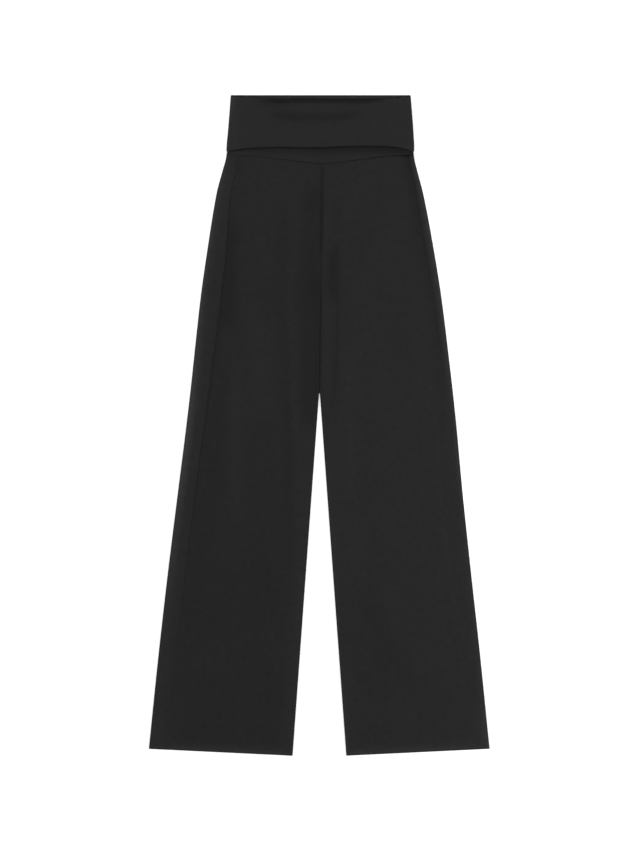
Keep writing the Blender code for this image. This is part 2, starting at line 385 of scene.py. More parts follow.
def shell_faces(rows: int, columns: int) -> np.ndarray:
    """Faces of a closed sheet: the cells of a grid, and the same cells turned over behind them.

    The grid's points come first, row by row. The faces behind share those of its border, and inside it they
    have points of their own, which follow.

    Args:
        rows: Rows of the grid.
        columns: Columns of the grid.

    Returns:
        The numbers of each face's four points.
    """
    over = np.arange(rows * columns).reshape(rows, columns)
    under = over.copy()
    under[1:-1, 1:-1] = rows * columns + np.arange((rows - 2) * (columns - 2)).reshape(rows - 2, -1)
    top = np.stack([over[:-1, :-1], over[1:, :-1], over[1:, 1:], over[:-1, 1:]], axis=-1)
    bottom = np.stack([under[:-1, :-1], under[:-1, 1:], under[1:, 1:], under[1:, :-1]], axis=-1)
    return np.concatenate([top.reshape(-1, 4), bottom.reshape(-1, 4)])


def shell_values(over: np.ndarray, under: np.ndarray) -> np.ndarray:
    """Values for the points of a closed sheet: those over all of its grid, then those under its inside."""
    size = over.shape[-1]
    return np.concatenate([over.reshape(-1, size), under[1:-1, 1:-1].reshape(-1, size)]).astype(np.float32)


@dataclass(frozen=True)
class Rims:
    """How far in the rounding of a sheet's four edges reaches."""

    top: float
    bottom: float
    first: float | np.ndarray
    last: float | np.ndarray


@dataclass
class ClothSheet:
    """One piece of cloth: the grid of its middle surface, and how thick and how rounded it is."""

    name: str
    middle: np.ndarray
    thickness: float
    rims: Rims
    tone: np.ndarray  # painted light and shade: share by which the cloth's colour is made lighter, or darker where it is below 0
    uv_start: np.ndarray  # distance across the uncut cloth at which each row starts

    def half_thickness(self) -> np.ndarray:
        """Half the thickness at each point, falling to 0 at the edges as a quarter circle or ellipse does.

        Near an edge it is multiplied by sqrt(1 - (1 - t)^2), with t the distance from that edge over its rim.

        Returns:
            The half thickness at each grid point.
        """
        down = run(self.middle, 0)
        across = run(self.middle, 1)
        edges = (
            (down, self.rims.top),
            (down[-1:] - down, self.rims.bottom),
            (across, self.rims.first),
            (across[:, -1:] - across, self.rims.last),
        )
        half = np.full(down.shape, self.thickness / 2)
        for distance, rim in edges:
            t = np.clip(distance / rim, 0.0, 1.0)
            half = half * np.sqrt(np.clip(1.0 - (1.0 - t) ** 2, 0.0, 1.0))
        return half

    def flat_size(self) -> tuple[tuple[float, float], float]:
        """The cut: the greatest width across and length along the cloth, and its area.

        Returns:
            The width and length, and the area.
        """
        width = float(run(self.middle, 1)[:, -1].max())
        length = float(run(self.middle, 0)[-1].max())
        return (width, length), cell_area(self.middle)

    def build(self) -> bpy.types.Object:
        """Makes the closed sheet: the middle surface moved out both ways along its normals.

        The two faces are middle + normal * half and middle - normal * half. They share the points of the
        border, where half is 0.

        Returns:
            The new object, linked to the scene.
        """
        rows, columns = self.middle.shape[:2]
        offset = normals(self.middle) * self.half_thickness()[..., None]
        points = shell_values(self.middle + offset, self.middle - offset)
        faces = shell_faces(rows, columns)

        mesh = bpy.data.meshes.new(self.name)
        mesh.vertices.add(len(points))
        mesh.vertices.foreach_set("co", points.ravel())
        mesh.loops.add(faces.size)
        mesh.loops.foreach_set("vertex_index", faces.astype(np.int32).ravel())
        mesh.polygons.add(len(faces))
        mesh.polygons.foreach_set("loop_start", np.arange(0, faces.size, 4, dtype=np.int32))
        mesh.update(calc_edges=True)
        mesh.shade_smooth()

        uv = np.stack([self.uv_start + run(self.middle, 1), run(self.middle, 0)], axis=-1)
        layer = mesh.uv_layers.new(name=UV_NAME)
        layer.data.foreach_set("uv", shell_values(uv, uv)[faces.ravel()].ravel())
        # Painted light and shade, kept from darkening the colour past black
        tone = np.maximum(np.broadcast_to(self.tone, (rows, columns)), -1.0)[..., None]
        painted_shades = mesh.attributes.new(PAINTED_SHADING_NAME, "FLOAT", "POINT")
        painted_shades.data.foreach_set("value", shell_values(tone, tone).ravel())

        piece = bpy.data.objects.new(self.name, mesh)
        bpy.context.scene.collection.objects.link(piece)
        return piece


SECTIONS = (
    Section(0.000, 0.1454, 0.0030, 0.0205, 0.010),
    Section(0.060, 0.1500, 0.0029, 0.0205, 0.010),
    Section(0.085, 0.1517, 0.0024, 0.0205, 0.010),
    Section(0.096, 0.1517, 0.0021, 0.0205, 0.0095),
    Section(0.103, 0.1526, 0.0020, 0.0205, 0.0095),
    Section(0.122, 0.1576, 0.0017, 0.0213, 0.0105),
    Section(0.154, 0.1662, 0.0016, 0.0231, 0.0124),
    Section(0.187, 0.1727, 0.0020, 0.0258, 0.0137),
    Section(0.251, 0.1835, 0.0028, 0.0309, 0.0144),
    Section(0.316, 0.1935, 0.0034, 0.0333, 0.0139),
    Section(0.381, 0.2015, 0.0039, 0.0335, 0.0133),
    Section(0.430, 0.2070, 0.0042, 0.0319, 0.0126),
    Section(0.478, 0.2124, 0.0044, 0.0305, 0.0113),
    Section(0.530, 0.2182, 0.0041, 0.0295, 0.0103),
    Section(0.640, 0.2302, 0.0022, 0.0285, 0.0103),
    Section(0.770, 0.2452, 0.0010, 0.0281, 0.0103),
    Section(0.900, 0.2598, 0.0007, 0.0281, 0.0103),
    Section(1.062, 0.2764, 0.0006, 0.0272, 0.0102),
)

FRONT_FOLDS = (
    Fold("right side, thigh trough", (0.430, -0.154), (0.500, -0.158), (0.570, -0.165), 0.008, -0.0005),
    Fold("right side, hip trough", (0.185, -0.1395), (0.280, -0.1440), (0.395, -0.1475), 0.0092, -0.0012),
    Fold("right side, leg trough", (0.560, -0.168), (0.690, -0.183), (0.850, -0.200), 0.009, -0.0003),
    Fold("right hip hollow", (0.190, -0.114), (0.240, -0.115), (0.295, -0.116), 0.012, -0.0003),
    Fold("right thigh swell", (0.320, -0.106), (0.420, -0.100), (0.540, -0.096), 0.026, 0.0004, 0.060),
    Fold("right thigh ridge", (0.420, -0.137), (0.535, -0.135), (0.700, -0.133), 0.009, 0.0006),
    Fold("right thigh trough", (0.155, -0.059), (0.330, -0.058), (0.520, -0.057), 0.010, -0.0005),
    Fold("right leg trough", (0.480, -0.0535), (0.560, -0.0500), (0.660, -0.0478), 0.0056, -0.0006),
    Fold("right knee trough", (0.630, -0.0478), (0.700, -0.0482), (0.780, -0.0492), 0.0056, -0.0003),
    Fold("right crotch ridge", (0.260, -0.0470), (0.410, -0.0445), (0.560, -0.0380), 0.0042, 0.0006),
    Fold("right crotch hollow", (0.13, -0.0105), (0.34, -0.0152), (0.56, -0.012), 0.0144, -0.001, 0.04, 4.0),
    Fold("right crotch edge", (0.275, -0.0340), (0.325, -0.0345), (0.370, -0.0350), 0.0060, -0.0005, 0.030),
    Fold("right seat trough", (0.280, -0.0740), (0.345, -0.0820), (0.395, -0.0860), 0.013, -0.0005, 0.040),
    Fold("right crotch dimple", (0.13, -0.013), (0.17, -0.0125), (0.205, -0.012), 0.009, -0.0003, 0.025, 3.0),
    Fold("right crotch crease", (0.235, -0.006), (0.3, -0.007), (0.36, -0.008), 0.009, -0.0003, 0.03, 3.0),
    Fold("right shin trough", (0.730, -0.102), (0.810, -0.098), (0.890, -0.092), 0.020, -0.0003, 0.060),
    Fold("centre seam valley", (0.110, 0.0050), (0.180, 0.0042), (0.265, 0.0030), 0.0022, -0.0010, 0.014),
    Fold("right crotch tuck", (0.220, -0.0040), (0.236, -0.0050), (0.252, -0.0050), 0.0035, -0.0005, 0.012),
    Fold("right crotch pucker", (0.288, -0.0050), (0.312, -0.0080), (0.336, -0.0110), 0.0060, -0.0004, 0.018),
    Fold("centre seam ridge", (0.130, 0.0125), (0.300, 0.0115), (0.470, 0.0105), 0.0035, 0.0003),
    Fold("left crotch dimple", (0.165, 0.0300), (0.200, 0.0300), (0.230, 0.0305), 0.0040, -0.0006, 0.025),
    Fold("left crotch trough", (0.23, 0.0245), (0.285, 0.0225), (0.35, 0.0205), 0.0074, -0.0016, 0.036, 2.2),
    Fold("left crotch crease", (0.300, 0.0290), (0.400, 0.0285), (0.520, 0.0215), 0.0028, -0.0010),
    Fold("left side, leg ridge", (0.480, 0.187), (0.672, 0.200), (0.880, 0.228), 0.0036, 0.0006),
    Fold("left inside-leg ridge", (0.390, 0.0440), (0.540, 0.0490), (0.670, 0.0500), 0.0065, 0.0006),
    Fold("left shin trough", (0.770, 0.046), (0.880, 0.104), (0.985, 0.158), 0.015, -0.0006, 0.060),
    Fold("left ankle trough", (0.840, 0.058), (0.920, 0.062), (1.000, 0.100), 0.008, -0.0004, 0.040),
    Fold("left shin hollow", (0.865, 0.085), (0.930, 0.100), (1.000, 0.122), 0.007, -0.0004, 0.030),
    Fold("left knee swell", (0.650, 0.056), (0.750, 0.053), (0.840, 0.061), 0.017, 0.0003, 0.050),
    Fold("left side, thigh trough", (0.430, 0.1905), (0.520, 0.1930), (0.615, 0.1940), 0.006, -0.0004),
    Fold("right ankle trough", (0.900, -0.080), (0.975, -0.076), (1.035, -0.070), 0.016, -0.0002, 0.050),
    Fold("right ankle swell", (0.850, -0.185), (0.950, -0.190), (1.040, -0.200), 0.018, 0.0002, 0.050),
)

# Each side of the legs down its length, with the painted highlights along its outer fold
SIDES = {
    Side.RIGHT: (
        SideRow(0.096, 0.0000, 0.1, 0.60, 0.0050),
        SideRow(0.120, 0.0001, 0.6, 1.10, 0.0052, strip=0.14),
        SideRow(0.170, 0.0002, 0.9, 1.30, 0.0054, strip=0.12),
        SideRow(0.251, 0.0002, 0.9, 1.80, 0.0050, strip=0.03),
        SideRow(0.320, 0.0004, 0.9, 1.75, 0.0062, strip=0.02),
        SideRow(0.383, 0.0005, 0.9, 1.50, 0.0082, 1.2),
        SideRow(0.436, 0.0004, 0.9, 1.35, 0.0106, 1.6, strip=0.03),
        SideRow(0.489, 0.0003, 0.9, 1.48, 0.0110, 2.2, strip=0.09),
        SideRow(0.542, 0.0002, 0.9, 1.55, 0.0108, 2.8, strip=0.13),
        SideRow(0.594, 0.0002, 0.8, 1.36, 0.0108, 3.0, strip=0.18),
        SideRow(0.648, 0.0001, 0.7, 1.08, 0.0119, 3.5, strip=0.18),
        SideRow(0.700, 0.0000, 0.6, 0.88, 0.0118, 3.5, strip=0.18),
        SideRow(0.754, 0.0000, 0.4, 0.80, 0.0124, 2.9, strip=0.17),
        SideRow(0.800, 0.0000, 0.1, 0.65, 0.0140, 2.2, strip=0.12),
        SideRow(0.850, 0.0000, 0.0, 0.45, 0.0160, 1.8, strip=0.08),
        SideRow(0.980, 0.0000, 0.0, 0.28, 0.0290, 1.8),
        SideRow(1.060, 0.0000, 0.0, 0.50, 0.0340, 2.0),
    ),
    Side.LEFT: (
        SideRow(0.096, 0.0012, 1.0, 0.50, 0.0042),
        SideRow(0.125, 0.0010, 0.6, 1.55, 0.0042),
        SideRow(0.170, 0.0009, 0.5, 1.80, 0.0042),
        SideRow(0.251, 0.0007, 0.5, 1.90, 0.0042),
        SideRow(0.316, 0.0005, 0.3, 1.80, 0.0043),
        SideRow(0.381, 0.0006, 0.4, 1.50, 0.0046),
        SideRow(0.430, 0.0005, 0.2, 1.15, 0.0050),
        SideRow(0.489, 0.0002, 0.0, 1.00, 0.0054),
        SideRow(0.550, 0.0000, 0.0, 0.85, 0.0058),
        SideRow(0.720, 0.0000, 0.0, 0.66, 0.0062),
        SideRow(0.980, 0.0000, 0.0, 0.62, 0.0072),
        SideRow(1.010, 0.0000, 0.0, 0.95, 0.0110),
        SideRow(1.060, 0.0000, 0.0, 1.15, 0.0120),
    ),
}

# The painted highlight along each inside leg, down its length
INSIDE_LEGS = {
    Side.RIGHT: (
        InsideRow(0.490, 0.00, 0.0400, 3.0),
        InsideRow(0.550, 0.12, 0.0400, 3.0),
        InsideRow(0.605, 0.14, 0.0335, 3.0),
        InsideRow(0.660, 0.20, 0.0280, 3.0),
        InsideRow(0.715, 0.22, 0.0225, 3.0),
        InsideRow(0.770, 0.23, 0.0190, 3.0),
        InsideRow(0.825, 0.25, 0.0165, 3.0),
        InsideRow(0.880, 0.26, 0.0190, 2.2),
        InsideRow(1.060, 0.27, 0.0170, 2.2),
    ),
    Side.LEFT: (
        InsideRow(0.490, 0.00, 0.0180, 1.5),
        InsideRow(0.560, 0.08, 0.0180, 1.5),
        InsideRow(0.660, 0.24, 0.0090, 1.2),
        InsideRow(0.715, 0.26, 0.0085, 1.2),
        InsideRow(0.770, 0.18, 0.0120, 1.5),
        InsideRow(0.825, 0.04, 0.0180, 1.5),
        InsideRow(0.880, 0.03, 0.0180, 1.5),
        InsideRow(0.935, 0.13, 0.0180, 1.5),
        InsideRow(0.990, 0.36, 0.0080, 1.2),
        InsideRow(1.060, 0.40, 0.0080, 1.2),
    ),
}
# The painted highlight along the hems
HEM_PAINTED_LIGHT = PaintedEdgeLight(pale=0.58, reach=0.0106, power=2.5)

# On the underside a fold can only stand up off the surface
BACK_FOLDS = (
    Fold("right seat fold", (0.150, -0.052), (0.270, -0.066), (0.400, -0.061), 0.010, 0.0005),
    Fold("right thigh fold", (0.360, -0.118), (0.520, -0.126), (0.700, -0.150), 0.010, 0.0004),
    Fold("right calf fold", (0.640, -0.072), (0.800, -0.085), (0.960, -0.081), 0.011, 0.0003, 0.060),
    Fold("right side fold", (0.250, -0.150), (0.420, -0.172), (0.560, -0.190), 0.008, 0.0004),
    Fold("left seat fold", (0.170, 0.047), (0.300, 0.052), (0.430, 0.068), 0.009, 0.0005),
    Fold("left thigh fold", (0.420, 0.140), (0.580, 0.150), (0.760, 0.178), 0.010, 0.0004),
    Fold("left knee fold", (0.540, 0.070), (0.640, 0.080), (0.760, 0.078), 0.009, 0.0003),
    Fold("left side fold", (0.200, 0.138), (0.330, 0.164), (0.480, 0.183), 0.008, 0.0004),
    Fold("left calf fold", (0.800, 0.120), (0.900, 0.150), (1.000, 0.206), 0.011, 0.0003, 0.060),
)

FRONT_CREASES = (
    Crease(-0.005, 0.0380, 0.046, 0.088, 0.0050, 0.0017, 0.0, 0.7),
    Crease(-0.074, 0.0150, 0.010, 0.034, 0.0060, 0.0010, 0.05),
    Crease(-0.035, 0.0425, 0.004, 0.018, 0.0030, 0.0003),
)
BACK_CREASES = (
    Crease(0.018, 0.0400, 0.030, 0.070, 0.0060, 0.0006, -0.05),
    Crease(-0.070, 0.0610, 0.006, 0.030, 0.0050, 0.0004, 0.12),
)

BAND_GATHERS = Gathers(rise=0.00012, step=0.0115, sway=1.9, sway_step=0.047, reach=0.0110, phase=0.6)
LEG_GATHERS = Gathers(rise=0.000072, step=0.0092, sway=2.3, sway_step=0.061, reach=0.0044)

# How high each ripple of the laid cloth is, and the two sines that it is the product of
RIPPLES = (
    (0.000160, Ripple(61, 9, sided=1.0), Ripple(0, 23, 0.7)),
    (0.000128, Ripple(34, -17, 2.1), Ripple(12, 41)),
    (0.000096, Ripple(96, 31, 0.4), Ripple(-22, 57, sided=1.0)),
)


@dataclass(frozen=True)
class TrouserCut:
    """The garment's sizes and its lines, as they lie on the surface."""

    waist_y: float  # y of the top fold
    length: float  # top fold to the inner corners of the hems
    hem_outer_down: float = 1.0584
    front_seam_down: float = 0.1111
    back_seam_down: float = 0.0935
    side_seam_down: float = 0.0976
    seam_point: float = 0.010  # over this much the V of the waistband seam is rounded
    seam_level: float = 0.10  # share of its run over which each arm of the V levels off at its end
    free_edge_down: float = 0.0844
    free_edge_drop: float = 0.0072
    free_edge_power: float = 7.5
    free_edge_tilt: float = -0.0040
    # Share of the way across, width as a share, and height of each of the free edge's waves
    free_edge_waves: tuple[tuple[float, float, float], ...] = ((-0.47, 0.14, -0.0011), (0.0, 0.14, 0.0009))
    waist_sag: float = 0.0100  # how far the front's top fold sags in the middle
    side_sag: float = 0.0062  # what is left of it beside the corners
    corner_sag: float = 0.0008
    waist_x: float = 0.0060  # x of the middle of the waist's opening
    waist_mouth: tuple[float, float] = (0.060, 0.120)  # it narrows over these distances from there
    waist_corner: tuple[float, float] = (0.118, 0.1345)  # and closes over these
    crotch_down: float = 0.310
    split_down: float = 0.4822
    split_lead: float = 0.0077  # the gap's straight sides would meet this much above the split
    split_reach: float = 0.0015  # it opens to them over this much
    band_seam_reach: float = 0.1160  # from the outline's middle, each arm of the V runs this far
    hem_inner_x: float = 0.0434
    hem_outer_x: float = 0.2752
    seam_x_top: float = 0.0053
    seam_x_split: float = 0.0009
    seam_gap: float = 0.0003  # between the two sides of a seam that shows
    centre_gap: float = -0.00003  # at the centre seam the two legs are pressed into each other
    shut_gap: float = 0.00001  # and of one that is pressed shut
    back_aside: float = 0.0007  # the back's centre seam lies this far beside the front's
    curl_reach: float = 0.070  # the inner edges curl under over this much above and below the crotch
    band_step: float = 0.0021  # how far the turned-down waistband stands out past its inner tube
    step_out: tuple[float, float] = (0.0900, 0.0945)  # below the tube the outline steps out over these

    def section(self, name: str, down: np.ndarray) -> np.ndarray:
        """A column of SECTIONS, on Hermite's cubic through its rows with each slope from its neighbours.

        Args:
            name: The column's name.
            down: Distances below the top fold.

        Returns:
            The column's value at each distance.
        """
        at = np.array([row.down for row in SECTIONS])
        value = np.array([getattr(row, name) for row in SECTIONS])
        slope = np.gradient(value, at)
        i = np.clip(np.searchsorted(at, down) - 1, 0, len(at) - 2)
        span = at[i + 1] - at[i]
        t = np.clip((down - at[i]) / span, 0.0, 1.0)
        start = (1 + 2 * t) * (1 - t) ** 2 * value[i] + t * (1 - t) ** 2 * span * slope[i]
        end = t**2 * (3 - 2 * t) * value[i + 1] + t**2 * (t - 1) * span * slope[i + 1]
        return start + end

    def side_half_gap(self, side: Side, down: np.ndarray) -> np.ndarray:
        """Half the gap between front and back at a side seam, which is pressed shut where no line shows."""
        return (self.shut_gap + along(SIDES[side], "line", down) * self.seam_gap) / 2

    def middle(self, down: np.ndarray) -> np.ndarray:
        """x of the middle of the outline, which sways a little to the wearer's left down the thighs."""
        return self.section("shift", down)

    def band_seam(self, x: np.ndarray, centre_down: float) -> np.ndarray:
        """How far down the waistband seam is: a V of straight arms that level off at their ends.

        Its point and both bends are rounded as hyperbolas.

        Args:
            x: Places across the garment.
            centre_down: The seam's distance down at its centre.

        Returns:
            The seam's distance down at each x.
        """
        away = x - self.seam_x_top
        side_x = self.middle(self.side_seam_down) + np.sign(away) * self.band_seam_reach - self.seam_x_top
        rounded = np.sqrt(away**2 + self.seam_point**2) - self.seam_point
        share = rounded / (np.abs(side_x) - self.seam_point)
        share = (1.0 + share - np.sqrt((1.0 - share) ** 2 + self.seam_level**2)) / 2
        return centre_down + share * (self.side_seam_down - centre_down)

    def seam_down(self, layer: Layer) -> float:
        """The waistband seam's distance down at its centre, on the front or the back."""
        return self.front_seam_down if layer is Layer.FRONT else self.back_seam_down

    def below_band(self, x: np.ndarray, down: np.ndarray) -> np.ndarray:
        """How far places lie below the front's waistband seam, and 0 above it."""
        return np.maximum(down - self.band_seam(x, self.front_seam_down), 0.0)

    def hem(self, x: np.ndarray) -> np.ndarray:
        """How far down the hem is: a straight line from its inner corner up to its outer one."""
        rise = (self.length - self.hem_outer_down) / (self.hem_outer_x - self.hem_inner_x)
        return self.length - rise * (np.abs(x) - self.hem_inner_x)

    def free_edge(self, share: np.ndarray) -> np.ndarray:
        """How far down the turned-down waistband hangs.

        It drops by drop * |share|^power towards its sides, with bell-shaped waves and a slight tilt.

        Args:
            share: Part of the way from its middle to the left side, or below 0 to the right side.

        Returns:
            The edge's distance down at each share.
        """
        drop = self.free_edge_drop * np.abs(share) ** self.free_edge_power
        waves = sum(rise * bell(share - at, width) for at, width, rise in self.free_edge_waves)
        return self.free_edge_down + drop + waves + self.free_edge_tilt * share * (1.0 - share**2)

    def outline(self, side: Side, down: np.ndarray) -> np.ndarray:
        """x of the outer fold of the legs, and of the waistband's inner tube that they are sewn to."""
        inset = self.band_step * (1.0 - ease(down, *self.step_out))
        return self.middle(down) + side.value * (self.section("half_width", down) - inset)

    def side_seam(self, side: Side, down: np.ndarray) -> np.ndarray:
        """x of the side seam, on the front."""
        inset = self.section(f"seam_{side.word}", down)
        return self.middle(down) + side.value * (self.section("half_width", down) - inset)

    def inner_edge(self, side: Side, down: np.ndarray) -> np.ndarray:
        """x of a leg's inner edge: the centre seam, and past the split the edge of the gap.

        The gap widens on a straight line from its tip to the hem, times an S that opens it at the split.

        Args:
            side: The leg's side.
            down: Distances below the top fold.

        Returns:
            x at each distance.
        """
        seam = np.interp(down, [self.front_seam_down, self.split_down], [self.seam_x_top, self.seam_x_split])
        tip = self.split_down - self.split_lead
        opening = np.clip((down - tip) / (self.length - tip), 0.0, 1.0)
        opening = opening * ease(down, self.split_down, self.split_down + self.split_reach)
        return seam + side.value * (self.centre_gap / 2 + self.hem_inner_x * opening)

    def rolled(self, down: np.ndarray) -> np.ndarray:
        """How far a leg's inner edge is curled under: 0 at the flat centre seam and 1 down the inside leg."""
        return ease(down, self.crotch_down - self.curl_reach, self.crotch_down + self.curl_reach)


@dataclass(frozen=True)
class ClothStack:
    """Heights of the layers above the surface, and how the cloth stands between them."""

    cut: TrouserCut
    wall: float = 0.0012  # thickness that the frame's leg pieces have
    ply: float = 0.0007  # thickness of the legs' jersey
    band_cloth: float = 0.0018  # the waistband's, which is two plies
    gap: float = 0.0003
    slit: float = 0.0006  # the flattened waist, between the waistband's front and back
    edge_loft: float = 0.0015  # how far the front stands off at the inside leg and the waistband seam
    outer_loft: float = 0.0006  # at the outer fold
    flat_loft: float = 0.0009  # and between them
    loft_reach: float = 0.010  # how far in from a leg's edge that changes
    band_loft_reach: float = 0.020  # and how far below the waistband seam
    hem_loft: float = 0.0005  # how much more it stands off at the hem
    step_down: tuple[float, float] = (0.092, 0.128)  # the legs come down off the waistband over these
    allowance: float = 0.0002  # how much the seam allowance beneath lifts the cloth
    allowance_end: tuple[float, float] = (0.0075, 0.0105)  # it ends over these distances from the seam
    dip_reach: float = 0.0105  # how far a side seam's dip spreads over the front panel
    dip_reach_outer: float = 0.0040  # and towards the outer fold
    dip_power: float = 2.5
    wide_shade: float = 0.60  # how much darker a painted shadow makes a soft band below the free edge
    wide_lean: float = 0.70  # how much more of that there is to the wearer's left, as a share
    wide_start: float = 0.0080  # it comes up over this much below that edge
    wide_end: float = 0.0185  # and fades over this much
    near_painted_shadow: float = 0.82  # how much darker a painted shadow makes a narrow line along the free edge
    near_lean: float = 0.30
    near_reach: float = 0.0009
    hem_depth: float = 0.022
    hem_top: tuple[float, float] = (0.021, 0.024)  # the front steps down over these, past its turn-up
    hem_ridge: float = 0.00012
    least_gap: float = 0.00015

    @property
    def stand_height(self) -> float:
        """Middle of the standing waistband, above the stack's middle plane."""
        return (self.slit + self.band_cloth) / 2

    @property
    def turned_height(self) -> float:
        """Middle of the turned-down waistband, above the stack's middle plane."""
        return self.stand_height + self.band_cloth + self.gap

    @property
    def band_step(self) -> float:
        """Height of one layer of waistband with the gap under it."""
        return self.band_cloth + self.gap

    def lift(self, down: np.ndarray) -> np.ndarray:
        """Height of the cloth's underside: on the turned-under waistband above, on the surface below."""
        return self.band_step * (1.0 - ease(down, *self.step_down))

    def seam_puckers(self, side: Side, x: np.ndarray, down: np.ndarray) -> np.ndarray:
        """Small gathers beside the waistband seam, the side seam and the centre seam.

        Args:
            side: The leg's side.
            x: Places across the garment.
            down: Distances below the top fold.

        Returns:
            The height that they add.
        """
        cut = self.cut
        band = BAND_GATHERS.relief(x, cut.below_band(x, down))
        outer = LEG_GATHERS.relief(down, np.abs(x - cut.side_seam(side, down)), side.value)
        centre = LEG_GATHERS.relief(down, np.abs(x - cut.inner_edge(side, down)), side.value)
        return band + outer + centre * (1.0 - cut.rolled(down))

    def back_relief(self, x: np.ndarray, down: np.ndarray) -> np.ndarray:
        """How far folds of the underside stand up off the surface, except beside its waistband seam.

        Args:
            x: Places across the garment.
            down: Distances below the top fold.

        Returns:
            The height that they add.
        """
        from_seam = np.abs(down - self.cut.band_seam(x, self.cut.back_seam_down))
        folds = sum(fold.relief(x, down) for fold in BACK_FOLDS)
        return folds * (1.0 - np.exp(-from_seam / self.loft_reach))

    def near_edge(self, side: Side, x: np.ndarray, down: np.ndarray) -> tuple[np.ndarray, np.ndarray]:
        """Nearness to the outer fold, and to the rolled inside leg and the waistband seam.

        Each is 1 at the edge and falls away exponentially inside it.

        Args:
            side: The leg's side.
            x: Places across the garment.
            down: Distances below the top fold.

        Returns:
            The nearness to the outer fold, and to the other two.
        """
        cut = self.cut
        outer = np.exp(-np.abs(cut.outline(side, down) - x) / self.loft_reach)
        inner = np.exp(-np.abs(x - cut.inner_edge(side, down)) / self.loft_reach)
        band = np.exp(-cut.below_band(x, down) / self.band_loft_reach)
        return outer, np.maximum(cut.rolled(down) * inner, band)

    def seam_dip(self, side: Side, x: np.ndarray, down: np.ndarray) -> np.ndarray:
        """How far the cloth lies lower towards a side seam: depth * exp(-(distance / reach)^power).

        Args:
            side: The leg's side.
            x: Places across the garment.
            down: Distances below the top fold.

        Returns:
            The drop at each place.
        """
        depth = along(SIDES[side], "dip", down)
        inside = side.value * (self.cut.side_seam(side, down) - x)
        near = np.where(inside > 0.0, inside / self.dip_reach, -inside / self.dip_reach_outer)
        return depth * np.exp(-(near**self.dip_power))

    def band_painted_shadow(self, x: np.ndarray, down: np.ndarray) -> np.ndarray:
        """Painted shadow: how much darker the cloth is painted just below the turned-down waistband's free
        edge.

        It is the sum of a wide shade that comes and goes as an S and a narrow one that fades exponentially
        below that edge, each times 1 + lean * share. Share is -1 at the right side and 1 at the left.

        Args:
            x: Places across the garment.
            down: Distances below the top fold.

        Returns:
            The shade at each place.
        """
        share = (x - self.cut.middle(down)) / self.cut.section("half_width", down)
        share = np.clip(share, -1.0, 1.0)
        below = np.maximum(down - self.cut.free_edge(share), 0.0)
        wide = ease(below, 0.0, self.wide_start) * (1.0 - ease(below, 0.0, self.wide_end))
        wide = wide * self.wide_shade * (1.0 + self.wide_lean * share)
        return wide + self.near_painted_shadow * (1.0 + self.near_lean * share) * np.exp(-below / self.near_reach)

    def front_height(self, side: Side, x: np.ndarray, down: np.ndarray) -> np.ndarray:
        """Height of the middle of the front's cloth.

        It lies over the back with a loft that varies towards its edges. Folds, ripples, gathers, the seam
        allowance and the turned-up hem beneath add their own heights.

        Args:
            side: The leg's side.
            x: Places across the garment.
            down: Distances below the top fold.

        Returns:
            The height at each place.
        """
        cut = self.cut
        outer, inner = self.near_edge(side, x, down)
        edge = np.maximum(outer, inner)
        loft = self.flat_loft + (self.edge_loft - self.flat_loft) * inner
        loft = loft + (self.outer_loft - self.flat_loft) * outer * (1.0 - inner)
        relief = sum(fold.relief(x, down) for fold in FRONT_FOLDS)
        for rise, one, other in RIPPLES:
            relief = relief + rise * one.at(side, x, down) * other.at(side, x, down)
        loft = loft + (1.0 - edge) * relief + self.seam_puckers(side, x, down)
        past_seam = side.value * (x - cut.side_seam(side, down))
        beneath = (past_seam > 0.0) * (1.0 - ease(past_seam, *self.allowance_end))
        from_hem = cut.hem(x) - down
        loft = loft + self.allowance * beneath * (1.0 - edge) - self.seam_dip(side, x, down)
        loft = loft + self.hem_loft * np.exp(-from_hem / self.loft_reach)
        loft = loft + self.hem_ridge * (1.0 - ease(from_hem, *self.hem_top))
        back = 2 * self.ply * (1 + (from_hem < self.hem_top[1])) + self.back_relief(x, down)
        base = 2 * self.wall + self.gap
        return self.lift(down) + base + np.maximum(loft, back + self.least_gap - base) - self.ply / 2

    def back_height(self, x: np.ndarray, down: np.ndarray) -> np.ndarray:
        """Height of the middle of the back's cloth."""
        return self.lift(down) + self.ply / 2 + self.back_relief(x, down)

    def flat_back_height(self, down: np.ndarray) -> np.ndarray:
        """Height of the middle of the back's cloth at its edges, where nothing lifts it."""
        return self.lift(down) + self.ply / 2

    def roll_radius(self, side: Side, x: np.ndarray, down: np.ndarray) -> np.ndarray:
        """Radius, at the middle of the cloth, of the roll that joins front and back at x."""
        return (self.front_height(side, x, down) - self.flat_back_height(down)) / 2


